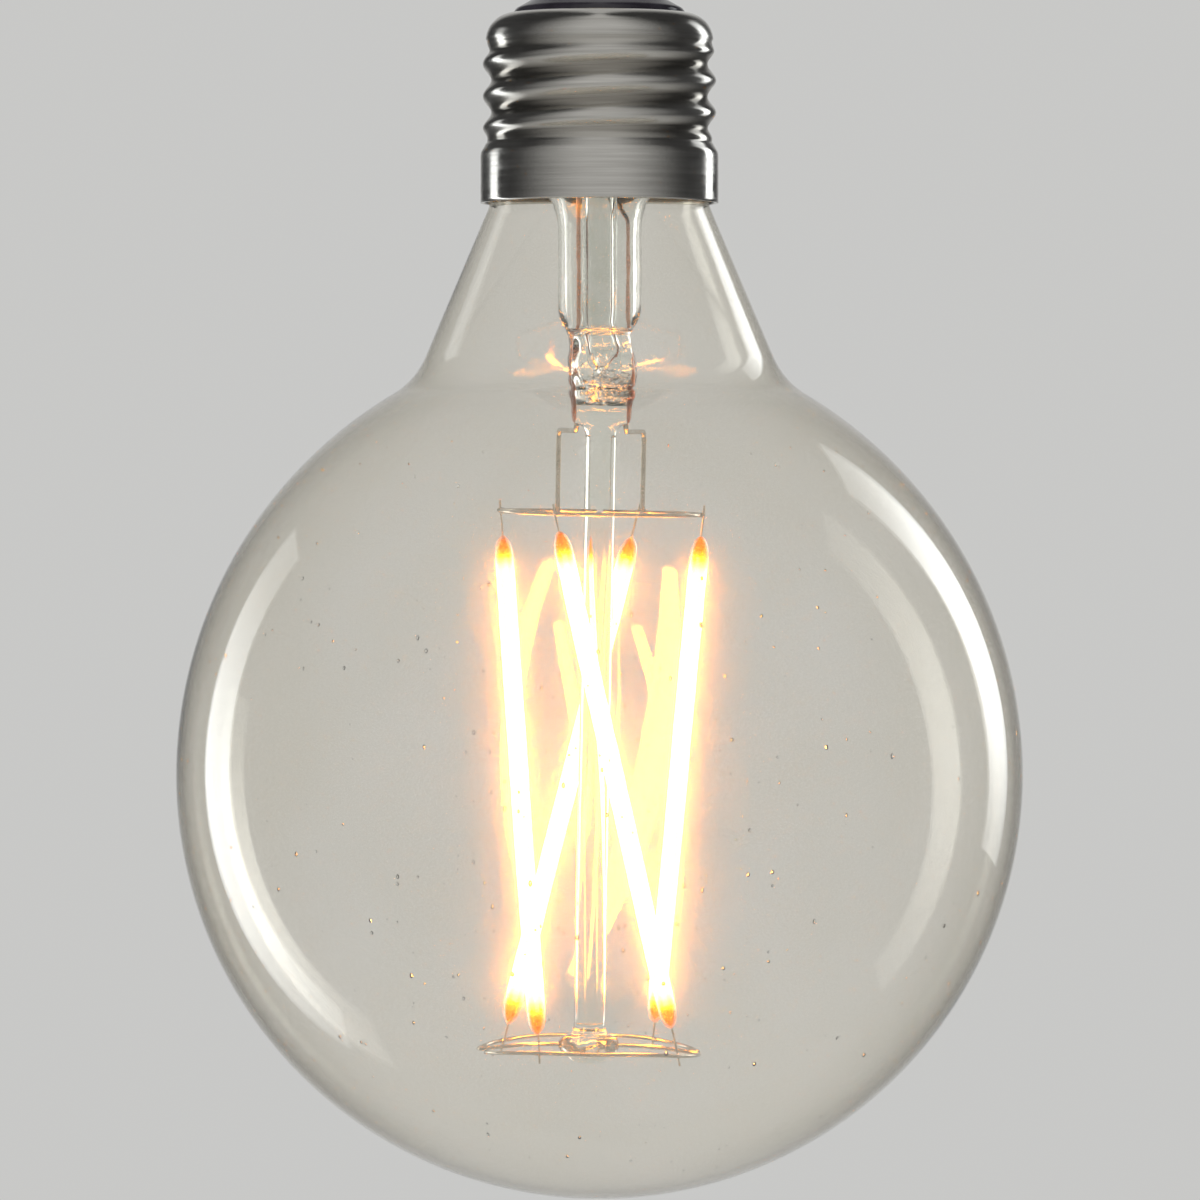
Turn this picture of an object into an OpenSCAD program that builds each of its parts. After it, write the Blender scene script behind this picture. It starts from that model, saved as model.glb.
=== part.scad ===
// Filament-style lamp with a globe bulb and a screw cap, hanging cap up.
// The origin is on the lamp's axis, half way up the cap's plain collar.
// Millimetres, +Z towards the cap's tip, -Y towards the viewer.

/* [Globe] */
// Outside diameter of the globe
globe_d = 95; // [80:1:125]
// Overall length, from the globe's far end to the cap's tip
lamp_l = 138; // [130:1:175]
// How much larger the radius of the globe's upper half is
shoulder_bulge = 2.2; // [0:0.1:4]
// Thickness of the blown glass
glass_wall = 0.7; // [0.5:0.1:1.2]
// Outside diameter of the neck where it enters the cap
neck_d = 24.6; // [22:0.1:28]
// Angle between the neck's side and the axis
neck_angle = 23; // [18:0.5:25]
// Radius of the hollow blend between globe and neck
neck_blend_r = 9; // [5:0.5:12]
// Length of straight neck inside the cap
neck_in_cap = 4.5; // [3.5:0.1:5]

/* [Screw cap] */
// Thickness of the cement between the neck and the plain collar
cement_t = 0.7; // [0.4:0.1:1.5]
// Height of the plain collar
collar_h = 6; // [5:0.5:8]
// Thickness of the cap's sheet metal
cap_wall = 0.35; // [0.25:0.05:0.5]
// Diameter over the thread's crests
thread_d = 26.2; // [25.8:0.1:26.4]
// Depth of the thread from crest to root
thread_depth = 0.95; // [0.6:0.05:1.1]
// Height of one turn of the thread
thread_pitch = 3.629; // [3.4:0.001:3.8]
// Height of the threaded part
thread_l = 11.5; // [10:0.5:15]
// Radius of the rounded shoulder above the thread
cap_shoulder_r = 3.1; // [2.5:0.1:4]
// Height of the insulator above the shell
insulator_h = 3.7; // [3:0.1:5]
// Depth of the insulator below the shell's top
insulator_depth = 2; // [1.5:0.1:2.5]
// Diameter of the centre contact
contact_d = 9.6; // [8:0.1:11]
// Thickness of the centre contact
contact_t = 0.5; // [0.3:0.1:0.8]
// Diameter of the solder on the centre contact
solder_d = 4.6; // [3:0.1:6]
// Height of the solder on the centre contact
solder_h = 0.9; // [0.5:0.1:1.4]

/* [Stem] */
// Outside diameter of the stem's tube
stem_d = 9.4; // [9:0.1:11]
// Thickness of the stem's glass
stem_wall = 0.9; // [0.7:0.1:1.1]
// Width of the flat brim between the stem's flare and the neck
brim_w = 0.4; // [0.2:0.1:1.5]
// Height from the stem's seal to the floor of its tube
stem_h = 19; // [15:0.5:24]
// Height of the solid glass below that floor
press_h = 10.2; // [9:0.1:13]
// Width of the flattened press
press_w = 6.8; // [6.6:0.1:9]
// Thickness of the flattened press
press_t = 3.6; // [3.6:0.1:5]
// Diameter of the lump of glass above the press
lump_d = 7.8; // [7.2:0.1:9]
// Height of the lump
lump_h = 7.6; // [6:0.1:8]
// Outside diameter of the exhaust tube
exhaust_d = 4; // [3:0.1:4.2]
// Thickness of the exhaust tube's glass
exhaust_wall = 0.7; // [0.5:0.1:0.9]
// How far the exhaust tube's sealed tip stands above the neck
exhaust_tip_h = 4.5; // [3:0.5:6]
// Diameter of the hole through which the globe was pumped out
blow_hole_d = 1.6; // [1:0.1:2]
// Diameter of the glass rod
rod_d = 3.5; // [2.5:0.1:3.6]
// How deep the rod is sunk into the press
rod_in_press = 2.2; // [1:0.1:4]
// Sideways lean of the mount
lean_side = 1.15; // [0:0.05:2]
// Lean of the mount away from the viewer
lean_back = 1.85; // [0:0.05:2.5]
// Sideways shift of the press from the lamp's axis
press_shift = 0.4; // [0:0.1:0.4]

/* [Wires] */
// Diameter of the two inner lead wires
lead_d = 0.6; // [0.4:0.05:0.8]
// Distance between the lead wires in the press
lead_gap = 5.6; // [5.4:0.1:5.8]
// How far the lead wires come straight out of the press
lead_drop = 0.8; // [0.6:0.1:2]
// Diameter of the copper-clad wires in the press
seal_wire_d = 0.5; // [0.3:0.05:0.5]
// How far the seal wires stand above the floor of the stem's tube
seal_wire_up = 1.2; // [0.5:0.1:3]
// Diameter of the outer copper wires
outer_lead_d = 0.5; // [0.3:0.05:0.6]
// Diameter of the support wires
support_d = 0.45; // [0.3:0.05:0.8]
// Radius of the bends in the inner lead wires
lead_bend_r = 0.7; // [0.5:0.1:1.5]
// Radius of the bends in the lower support wires
support_bend_r = 1.2; // [0.8:0.1:3]
// Height from the press down to the upper supports
upper_drop = 9.9; // [6:0.1:14]
// Radius of the upper supports' ring
upper_ring_r = 11.7; // [9:0.1:14]
// Radius of the lower supports' ring
lower_ring_r = 12.5; // [9:0.1:14]
// How far the lower supports droop at both sides
lower_droop = 0.75; // [0:0.05:1.5]
// Directions of the left upper support's two ends
left_angles = [97, 166]; // [90:1:180]
// Directions of the right upper support's two ends
right_angles = [12, 84]; // [0:1:90]
// Directions of the front upper support's two ends
front_angles = [200, 356]; // [190:1:360]
// Directions of the feet of the left and right leads
lead_angles = [115.5, 64]; // [20:0.5:160]
// Angle swept by the front lower support's arc
front_sweep_angle = 151; // [140:1:160]
// Angle swept by the back lower support's arc
back_sweep_angle = 166; // [140:1:168]
// Diameter of the glass bead at the rod's end
bead_d = 6.8; // [5:0.1:9]
// Height of the bead
bead_h = 2.4; // [1.6:0.1:4]
// Height of the drop of glass below the bead
bead_drop_h = 0.9; // [0.5:0.1:2]
// Distance between the two wires' ends inside the bead
bead_gap = 1.2; // [0.6:0.1:2]

/* [Filaments] */
// Length of a filament's coat
filament_l = 57.2; // [38:0.1:60]
// Diameter of a filament's coat
filament_d = 2.1; // [1.6:0.1:3]
// Length of the coat's tapered ends
taper_l = 2.3; // [1:0.1:4]
// Bare length of a filament's two end wires together
bare_l = 4.7; // [3.5:0.1:8]
// Bare length of each filament's upper end wire
upper_bare_l = [2.85, 1.9, 2.35, 2.85]; // [1.5:0.05:3]
// Even turn about the axis from a filament's upper weld to its lower weld
twist_angle = 80; // [0:1:90]
// Directions of the filaments' upper welds
upper_weld_angles = [158, 246, 344.5, 428.5]; // [0:0.5:450]
// Directions of the filaments' lower welds
lower_weld_angles = [243, 325, 413, 503]; // [0:0.5:540]
// Distance from the end of a filament's coat to the end of its strip
strip_end = 2.6; // [2.3:0.1:5]
// Width of the strip
strip_w = 0.8; // [0.5:0.1:1.2]
// Thickness of the strip
strip_t = 0.4; // [0.3:0.05:0.6]
// Number of chips on a strip
chip_count = 28; // [10:1:32]
// Length of a chip
chip_l = 0.9; // [0.4:0.1:1]
// Width of a chip
chip_w = 0.5; // [0.3:0.05:0.7]
// Thickness of a chip
chip_t = 0.15; // [0.1:0.05:0.2]
// Bare length between the row of chips and the strip's end
chip_margin = 1.2; // [0.5:0.1:3]
// Diameter of a filament's end wires
terminal_d = 0.25; // [0.15:0.05:0.4]
// How far an end wire runs past the support it is welded to
terminal_past = 1.1; // [0.5:0.1:2]

/* [Driver] */
// Diameter of the round driver board
board_d = 19; // [18:0.1:21]
// Thickness of the board
board_t = 1; // [0.8:0.1:1.6]
// Gap between the exhaust tube's tip and the board
board_gap = 2; // [1:0.1:3]
// Play of a wire in its hole in the board
wire_play = 0.1; // [0.05:0.05:0.2]
// Diameter of the capacitor's can
capacitor_d = 6.3; // [5:0.1:6.3]
// Height of the capacitor's can
capacitor_h = 6; // [5:0.1:6.2]
// Distance from the axis to the capacitor
capacitor_x = 5; // [4.8:0.1:5.4]
// Distance between the capacitor's pins
pin_gap = 2.5; // [2:0.1:3]
// Diameter of the capacitor's pins
pin_d = 0.5; // [0.4:0.05:0.6]
// Height of the capacitor's rubber bung
bung_h = 0.5; // [0.3:0.1:0.6]
// Diameter of the fusible resistor
resistor_d = 2.3; // [1.6:0.1:2.4]
// Length of the fusible resistor
resistor_l = 5; // [4:0.1:5.2]
// Thickness of the sleeve round the resistor
sleeve_t = 0.25; // [0.15:0.05:0.3]
// How far the sleeve runs past each end of the resistor
sleeve_past = 0.4; // [0.2:0.1:0.6]
// Diameter of the resistor's wires
resistor_wire_d = 0.6; // [0.4:0.05:0.7]
// Diameter of the neutral wire
neutral_wire_d = 0.5; // [0.4:0.05:0.6]
// Distance from the axis to the neutral wire's hole
neutral_hole_r = 8.3; // [8:0.1:8.6]
// Distance from the axis to the outer leads' holes
lead_hole_r = 7.8; // [7.5:0.1:8.2]
// Length and width of a chip package, and its thickness
package = [4.7, 3.5, 1.6]; // [1:0.1:5]
// Length and width of a package's leg, and its thickness
leg = [0.8, 0.5, 0.2]; // [0.1:0.05:1]
// Distance along the board from the axis to the packages
package_x = 4.6; // [4.5:0.1:5]
// Distance across the board from the axis to the packages
package_y = 3.1; // [3:0.1:3.3]
// Length and width of a surface resistor, and its thickness
chip_resistor = [1.6, 0.8, 0.45]; // [0.3:0.05:2]
// Place of the first surface resistor, which the second mirrors
chip_resistor_at = [2.4, 7.2]; // [-8:0.1:8]

/* [Hidden] */

$fn = 128;

// Colours
blown_glass = [0.9, 0.87, 0.76, 0.3];
clear_glass = [0.85, 0.88, 0.86, 0.4];
nickel = [0.78, 0.76, 0.72];
copper = [0.78, 0.42, 0.26];
brass = [0.8, 0.66, 0.36];
phosphor = [1, 0.72, 0.28];
ceramic = [0.92, 0.92, 0.88];
chip_blue = [0.35, 0.45, 0.7];
black_glass = [0.06, 0.06, 0.07];
cement_white = [0.82, 0.78, 0.7];
board_green = [0.13, 0.36, 0.2];
package_black = [0.08, 0.08, 0.09];
solder_grey = [0.68, 0.69, 0.71];

// Small allowances
eps = 0.01;          // how far a cut runs past the face it opens
blend_bite = 0.01;   // how far the neck's blend cuts into its neighbours, so that outlines cross
cut_over = 1;        // how far a long cut runs past its piece
fillet_core = 3;     // depth inside the glass from which the blend is filled

// Heights of the cap, from its rim up
rim_z = -collar_h / 2;
collar_top = collar_h / 2;
step_h = 0.8;
thread_z = collar_top + step_h;
thread_top = thread_z + thread_l;
shell_top = thread_top + cap_shoulder_r;
insulator_top = shell_top + insulator_h;
contact_top = insulator_top + contact_t;
tip_z = contact_top + solder_h;
insulator_floor = shell_top - insulator_depth;

// Radii of the cap: the collar goes round the neck and its cement
collar_r = neck_d / 2 + cement_t + cap_wall;
thread_swing = thread_depth / 2;
thread_mid_r = thread_d / 2 - thread_swing;
thread_run_out = thread_pitch / 2;
thread_cols = 48;
rows_per_turn = 8;
thread_step = thread_pitch / rows_per_turn;
thread_rows = ceil(thread_l / thread_step);
joint_lip = 0.15;
joint_lap = 0.4;
joint_r = thread_mid_r + joint_lip;
joint_wall = cap_wall + 2 * joint_lip;
shoulder_wall = joint_wall;
contact_hole_d = resistor_wire_d;
cement_gap = 0.4;
insulator_hole_d = 2.4;
insulator_slope = 0.5;

// Globe and neck
globe_r = globe_d / 2;
globe_z = tip_z - lamp_l + globe_r;
neck_r = neck_d / 2;
neck_top = rim_z + neck_in_cap;
rim_up = rim_z - globe_z;
shoulder_r = globe_r + shoulder_bulge;
shoulder_c = [-shoulder_bulge, 0];
neck_out = [cos(neck_angle), sin(neck_angle)];
neck_down = [sin(neck_angle), -cos(neck_angle)];
blend_from = [neck_r, rim_up] + neck_blend_r * neck_out;
blend_q = blend_from - shoulder_c;
blend_reach = shoulder_r + neck_blend_r;
blend_s = -blend_q * neck_down
    - sqrt(pow(blend_q * neck_down, 2) - blend_q * blend_q + pow(blend_reach, 2));
blend_c = blend_from + blend_s * neck_down;
blend_u = (blend_c - shoulder_c) / blend_reach;

// Stem
stem_r = stem_d / 2;
stem_bore_r = stem_r - stem_wall;
neck_bore_r = neck_r - glass_wall;
flare_r = neck_bore_r - stem_r - brim_w;
seal_z = neck_top - stem_wall;
floor_z = neck_top - stem_h;
plug_h = 2.4;
plug_r = 3.2;
exhaust_r = exhaust_d / 2;
exhaust_bore_r = exhaust_r - exhaust_wall;
exhaust_top = neck_top + exhaust_tip_h;
exhaust_taper = 2.5;
exhaust_sunk = 5;
lump_top = 0.3;
rod_r = rod_d / 2;

// Mount, measured down from the floor of the stem's tube and leaning with it
press_z = -press_h;
upper_z = press_z - upper_drop;
weld_chord = norm([upper_ring_r, 0] - lower_ring_r * [cos(twist_angle), sin(twist_angle)]);
lower_z = upper_z - sqrt(pow(filament_l + bare_l, 2) - pow(weld_chord, 2));
bead_top = lower_z + bead_h / 2;
rod_top = press_z + rod_in_press;

// A point at radius r, direction a and height z, and a point put on the drooping lower supports
function turned(r, a, z) = [r * cos(a), r * sin(a), z];
function drooped(p) =
    let (out = max(abs(p.x) - bead_d / 2, 0) / (lower_ring_r - bead_d / 2))
    [p.x, p.y, lower_z - lower_droop * out * out];
function unit(v) = v / norm(v);

// Where filament i touches the upper support from outside and the lower support from inside
weld_touch = (support_d + terminal_d) / 2;
way_step = 1;
function upper_at(i) = turned(upper_ring_r, upper_weld_angles[i - 1], upper_z);
function lower_ring_at(a) = drooped(turned(lower_ring_r, a, 0));
function lower_at(i) = lower_ring_at(lower_weld_angles[i - 1]);
function upper_way(i) = turned(1, upper_weld_angles[i - 1] + 90, 0);
function lower_way(i) =
    lower_ring_at(lower_weld_angles[i - 1] + way_step) - lower_ring_at(lower_weld_angles[i - 1] - way_step);
function upper_weld(i) =
    upper_at(i) + weld_touch * unit(cross(upper_way(i), upper_at(i) - lower_at(i)));
function lower_weld(i) =
    lower_at(i) - weld_touch * unit(cross(lower_way(i), upper_at(i) - lower_at(i)));
function filament_way(i) = unit(upper_weld(i) - lower_weld(i));
function filament_mid(i) = upper_weld(i) - (upper_bare_l[i - 1] + filament_l / 2) * filament_way(i);
function lower_bare_l(i) = norm(upper_weld(i) - lower_weld(i)) - filament_l - upper_bare_l[i - 1];

strip_l = filament_l - 2 * strip_end;

// Direction of the front upper support's arm, which is fused into the rod
front_arm_angle = 270;
lead_foot_r = upper_ring_r - (support_d + lead_d) / 2;
lead_past = 0.4;

// Driver
board_z = exhaust_top + board_gap;
board_top = board_z + board_t;
wire_end_up = 0.5;
resistor_up = 0.9;
resistor_z = board_top + resistor_up;
resistor_top = resistor_z + resistor_l;
neutral_angle = 235;
lead_hole_angle = 105;
neutral_foot_r = collar_r - cap_wall - neutral_wire_d / 2;
neutral_foot_up = 0.2;
neutral_foot_z = neck_top - cement_gap + neutral_foot_up;
neutral_knee_drop = 0.6;
neutral_knee_z = collar_top - cap_wall - neutral_knee_drop;
neutral_fall = 0.6;
neutral_bend_r = 0.5;
outer_lead_straight = 1;
outer_lead_bend_r = 1.5;
solder_cone_r = 0.8;
solder_cone_h = 0.6;
lead_hole_left = turned(lead_hole_r, -lead_hole_angle, 0);
lead_hole_right = turned(lead_hole_r, lead_hole_angle, 0);
neutral_hole = turned(neutral_hole_r, neutral_angle, 0);
lead_wire_sides = 12;
bend_steps = 5;
leg_rows = [-1.5, -0.5, 0.5, 1.5];
leg_step = 1.1;

// Points of a path through the given points, with each corner rounded to radius r
function corner(a, b, c, r) =
    let (u = unit(a - b), v = unit(c - b), half = acos(u * v) / 2,
         reach = r / tan(half), centre = b + unit(u + v) * r / sin(half),
         p = unit(b + reach * u - centre), q = unit(b + reach * v - centre), turn = acos(p * q))
    [for (k = [0:bend_steps])
        centre + r * (sin(turn * (1 - k / bend_steps)) * p + sin(turn * k / bend_steps) * q) / sin(turn)];
function rounded(points, r) =
    [points[0],
     for (i = [1:len(points) - 2]) each corner(points[i - 1], points[i], points[i + 1], r),
     points[len(points) - 1]];

// Rings of a tube along a path: each ring's first spoke is carried on from the ring before
function ahead(path, i) = unit(path[min(i + 1, len(path) - 1)] - path[max(i - 1, 0)]);
function square_to(v, t) = unit(v - (v * t) * t);
function first_spoke(t) = square_to(abs(t.z) < 0.9 ? [0, 0, 1] : [1, 0, 0], t);
function spokes(path) =
    [for (i = 0, s = first_spoke(ahead(path, 0)); i < len(path);
          i = i + 1, s = i < len(path) ? square_to(s, ahead(path, i)) : s) s];

module tube(path, d) {
    n = lead_wire_sides;
    turns = spokes(path);
    points = [
        for (i = [0:len(path) - 1])
            let (t = ahead(path, i), u = turns[i], v = cross(t, u))
            for (k = [0:n - 1]) path[i] + d / 2 * (cos(360 * k / n) * u + sin(360 * k / n) * v)];
    sides = [
        for (i = [0:len(path) - 2], k = [0:n - 1])
            [i * n + k, (i + 1) * n + k, (i + 1) * n + (k + 1) % n, i * n + (k + 1) % n]];
    start = [for (k = [0:n - 1]) k];
    end = [for (k = [n - 1:-1:0]) (len(path) - 1) * n + k];
    polyhedron(points = points, faces = concat(sides, [start, end]));
}

// Everything on the mount leans about the floor of the stem's tube
module leaning() {
    translate([press_shift, 0, floor_z]) rotate([lean_back, lean_side, 0]) children();
}

// A round bar of diameter d from point a to point b
module bar(a, b, d) {
    way = b - a;
    tilt = acos(way.z / norm(way));
    translate(a) rotate([0, tilt, atan2(way.y, way.x)]) cylinder(h = norm(way), d = d);
}

// Upper support: part of a ring of wire between two directions
module upper_arc(ends) {
    translate([0, 0, upper_z]) rotate([0, 0, ends[0]])
        rotate_extrude(angle = ends[1] - ends[0]) translate([upper_ring_r, 0]) circle(d = support_d);
}

// Half section of the globe and neck, drawn in by inset, with its neck cut off at height top
module globe_outline(inset, top) {
    cone_r0 = neck_r + rim_up * tan(neck_angle) - inset / cos(neck_angle);
    knee_z = rim_up - inset * tan(neck_angle / 2);
    fill_a = shoulder_c + (shoulder_r - fillet_core) * blend_u;
    fill_b = blend_c - (neck_blend_r + fillet_core) * neck_out;
    intersection() {
        circle(r = globe_r - inset);
        translate([0, -globe_d]) square([globe_d, globe_d]);
    }
    difference() {
        union() {
            intersection() {
                translate(shoulder_c) circle(r = shoulder_r - inset);
                square([globe_d, globe_d]);
            }
            polygon([[0, 0], [cone_r0, 0], [neck_r - inset, knee_z], [neck_r - inset, top], [0, top]]);
            polygon([[0, fill_a.y], fill_a, blend_c, fill_b, [0, fill_b.y]]);
        }
        translate(blend_c) circle(r = neck_blend_r + inset + blend_bite);
    }
}

module glass_globe() {
    color(blown_glass) translate([0, 0, globe_z]) rotate_extrude()
        difference() {
            globe_outline(0, neck_top - globe_z);
            globe_outline(glass_wall, neck_top - globe_z + cut_over);
        }
}

// A rounded block of glass, drawn as a blunt oval of revolution
module lump_body(r, h) {
    rotate_extrude()
        polygon([for (a = [-90:7.5:90])
            [r * sqrt(cos(a)), sign(a) * h / 2 * sqrt(abs(sin(a)))]]);
}

module press_blank() {
    round_x = (press_w - press_t) / 2;
    translate([0, 0, -lump_top - lump_h / 2]) lump_body(lump_d / 2, lump_h);
    translate([0, 0, press_z]) linear_extrude(press_h - lump_top - lump_h / 2) {
        square([2 * round_x, press_t], center = true);
        translate([-round_x, 0]) circle(d = press_t);
        translate([round_x, 0]) circle(d = press_t);
    }
}

// Trumpet of the stem: a quarter ring turned about the axis, with a tube below and a brim outside
module flare_section() {
    centre = [stem_r + flare_r, seal_z - flare_r];
    intersection() {
        translate(centre) difference() {
            circle(r = flare_r + stem_wall);
            circle(r = flare_r);
        }
        translate([0, centre.y]) square([centre.x, neck_top - centre.y]);
    }
    translate([stem_bore_r, floor_z]) square([stem_wall, centre.y - floor_z]);
    translate([centre.x, seal_z]) square([neck_bore_r - centre.x, stem_wall]);
    polygon([[0, floor_z], [stem_r, floor_z], [plug_r, floor_z - plug_h], [0, floor_z - plug_h]]);
}

module stem_flare() {
    color(clear_glass) difference() {
        union() {
            rotate_extrude() flare_section();
            leaning() press_blank();
        }
        leaning() {
            for (side = [-1, 1])
                translate([side * lead_gap / 2, 0, press_z - eps])
                    cylinder(h = press_h + 2 * eps + plug_h, d = seal_wire_d);
            translate([0, 0, press_z - eps]) cylinder(h = rod_in_press + eps, d = rod_d);
        }
        translate([0, 0, floor_z - exhaust_sunk]) cylinder(h = exhaust_sunk + eps, r = exhaust_bore_r);
        translate([0, 0, floor_z - exhaust_sunk]) rotate([-90, 0, 0]) cylinder(h = lump_d, d = blow_hole_d);
    }
}

// Tube from the stem's floor up to its pinched-off tip
module exhaust_tube() {
    shoulder = exhaust_top - exhaust_taper;
    tip_r = exhaust_wall;
    color(clear_glass) rotate_extrude()
        polygon([
            [exhaust_bore_r, floor_z], [exhaust_r, floor_z], [exhaust_r, shoulder],
            [tip_r, exhaust_top - exhaust_wall / 2], [0, exhaust_top],
            [0, exhaust_top - 2 * exhaust_wall], [exhaust_bore_r, shoulder - exhaust_wall / 2]]);
}

module support_rod() {
    color(clear_glass) leaning() difference() {
        translate([0, 0, bead_top]) cylinder(h = rod_top - bead_top, d = rod_d);
        translate([0, 0, upper_z]) rotate([0, 0, front_arm_angle]) rotate([0, 90, 0])
            cylinder(h = rod_d, d = support_d);
    }
}

module support_bead() {
    rim = bead_h / 2;
    core_r = bead_d / 2 - rim;
    drop_top_r = core_r + rim / 2;
    color(clear_glass) leaning() difference() {
        translate([0, 0, lower_z]) union() {
            rotate_extrude() {
                translate([0, -rim]) square([core_r, bead_h]);
                translate([core_r, 0]) intersection() {
                    circle(r = rim);
                    translate([0, -rim]) square([rim, bead_h]);
                }
            }
            translate([0, 0, -rim - bead_drop_h])
                cylinder(h = bead_drop_h + rim / 2, r1 = core_r, r2 = drop_top_r);
        }
        for (side = [-1, 1])
            bar([side * bead_gap / 2, 0, lower_z], [side * bead_d, 0, lower_z], support_d);
    }
}

// Lead from the press down and back to its foot inside the upper support
module inner_lead(side, angle) {
    foot = turned(lead_foot_r, angle, upper_z - lead_past);
    knee = [foot.x, foot.y, press_z - lead_drop];
    path = rounded(
        [[side * lead_gap / 2, 0, press_z], [side * lead_gap / 2, 0, press_z - lead_drop], knee, foot],
        lead_bend_r);
    color(nickel) leaning() tube(path, lead_d);
}

module seal_wires() {
    color(copper) leaning()
        for (side = [-1, 1])
            translate([side * lead_gap / 2, 0, press_z])
                cylinder(h = press_h + seal_wire_up, d = seal_wire_d);
}

// A point of the leaning frame in the lamp's own frame
function leaned(p) =
    let (a = [p.x, p.y * cos(lean_back) - p.z * sin(lean_back), p.y * sin(lean_back) + p.z * cos(lean_back)])
    [a.x * cos(lean_side) + a.z * sin(lean_side) + press_shift, a.y,
     a.z * cos(lean_side) - a.x * sin(lean_side) + floor_z];

// Copper wire from a seal wire up through the stem and the board
module outer_lead(side, hole) {
    start = leaned([side * lead_gap / 2, 0, seal_wire_up]);
    path = rounded(
        [start, [start.x, start.y, seal_z - flare_r + outer_lead_straight],
         [hole.x, hole.y, exhaust_top - outer_lead_straight], [hole.x, hole.y, board_top + wire_end_up]],
        outer_lead_bend_r);
    color(copper) tube(path, outer_lead_d);
}

module upper_support_left() {
    color(nickel) leaning() upper_arc(left_angles);
}

module upper_support_right() {
    color(nickel) leaning() upper_arc(right_angles);
}

// The front arc joins two filaments, and its arm is fused into the rod
module upper_support_front() {
    color(nickel) leaning() union() {
        upper_arc(front_angles);
        bar([0, 0, upper_z], turned(upper_ring_r, front_arm_angle, upper_z), support_d);
    }
}

// Arm out of the bead along direction a, a bend, and an arc that sweeps clockwise round the axis
function hook_path(a, sweep) =
    let (bend = support_bend_r, far = lower_ring_r - bend, arm = sqrt(far * far - bend * bend),
         meet = asin(-bend / far), steps = 28, arm_steps = 6,
         start = bead_gap / 2, run = arm - start,
         flat = concat(
             [for (k = [0:arm_steps - 1]) turned(start + run * k / arm_steps, 0, 0)],
             [for (k = [0:bend_steps]) let (b = 90 + (meet - 90) * k / bend_steps)
                 [arm + bend * cos(b), -bend + bend * sin(b), 0]],
             [for (k = [1:steps]) turned(lower_ring_r, meet - sweep * k / steps, 0)]))
    [for (p = flat) drooped([p.x * cos(a) - p.y * sin(a), p.x * sin(a) + p.y * cos(a), 0])];

module lower_support_front() {
    color(nickel) leaning() tube(hook_path(0, front_sweep_angle), support_d);
}

module lower_support_back() {
    color(nickel) leaning() tube(hook_path(180, back_sweep_angle), support_d);
}

// Puts a filament's own frame in place: z up along it, x outwards, origin at its middle
module at_filament(i) {
    w = filament_way(i);
    mid = filament_mid(i);
    u = square_to([mid.x, mid.y, 0], w);
    v = cross(w, u);
    leaning() multmatrix([[u.x, v.x, w.x, mid.x], [u.y, v.y, w.y, mid.y], [u.z, v.z, w.z, mid.z]])
        children();
}

module strip_shape() {
    translate([-strip_t, -strip_w / 2, -strip_l / 2]) cube([strip_t, strip_w, strip_l]);
}

module chips_shape() {
    run = strip_l - 2 * chip_margin - chip_l;
    for (k = [0:chip_count - 1])
        translate([0, -chip_w / 2, -chip_l / 2 - run / 2 + run * k / (chip_count - 1)])
            cube([chip_t, chip_w, chip_l]);
}

// Both end wires of a filament, from the ends of its strip to past the supports
module terminals_shape(i) {
    above = strip_end + upper_bare_l[i - 1] + terminal_past;
    below = strip_end + lower_bare_l(i) + terminal_past;
    translate([0, 0, strip_l / 2]) cylinder(h = above, d = terminal_d);
    translate([0, 0, -strip_l / 2 - below]) cylinder(h = below, d = terminal_d);
}

module filament_coat(i) {
    half = filament_l / 2;
    tip = [for (a = [0:10:90]) [filament_d / 2 * cos(a), half - taper_l + taper_l * sin(a)]];
    outline = concat(tip, [for (k = [len(tip) - 1:-1:0]) [tip[k].x, -tip[k].y]]);
    color(phosphor) at_filament(i) difference() {
        rotate_extrude() polygon(outline);
        strip_shape();
        chips_shape();
        terminals_shape(i);
    }
}

module filament_strip(i) {
    color(ceramic) at_filament(i) strip_shape();
}

module filament_chips(i) {
    color(chip_blue) at_filament(i) chips_shape();
}

module filament_terminals(i) {
    color(nickel) at_filament(i) terminals_shape(i);
}

// Radius of the rolled thread at height z and direction a, fading to a plain tube at both ends
function faded(x) = let (t = min(max(x, 0), 1)) t * t * (3 - 2 * t);
function thread_r(z, a) =
    thread_mid_r + thread_swing * faded((z - thread_z) / thread_run_out)
    * faded((thread_top - z) / thread_run_out) * cos(360 * z / thread_pitch - a);

module rolled_thread() {
    n = thread_cols;
    heights = [for (j = [0:thread_rows]) thread_z + thread_l * j / thread_rows];
    section = concat(
        [for (z = heights) [0, z]],
        [for (j = [thread_rows:-1:0]) [-cap_wall, heights[j]]]);
    m = len(section);
    points = [
        for (s = section, k = [0:n - 1])
            let (a = 360 * k / n) turned(thread_r(s.y, a) + s.x, a, s.y)];
    faces = [
        for (j = [0:m - 1], k = [0:n - 1])
            [j * n + k, (j + 1) % m * n + k, (j + 1) % m * n + (k + 1) % n, j * n + (k + 1) % n]];
    polyhedron(points = points, faces = faces);
}

// Collar with a step in to the thread, and the rounded shoulder above the thread
module collar_section() {
    inner_r = collar_r - cap_wall;
    step_z = thread_z - cap_wall;
    polygon([
        [inner_r, rim_z], [collar_r, rim_z], [collar_r, collar_top], [joint_r, thread_z],
        [joint_r, thread_z + joint_lap], [joint_r - joint_wall, thread_z + joint_lap],
        [joint_r - joint_wall, step_z], [inner_r, collar_top - cap_wall]]);
}

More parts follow.
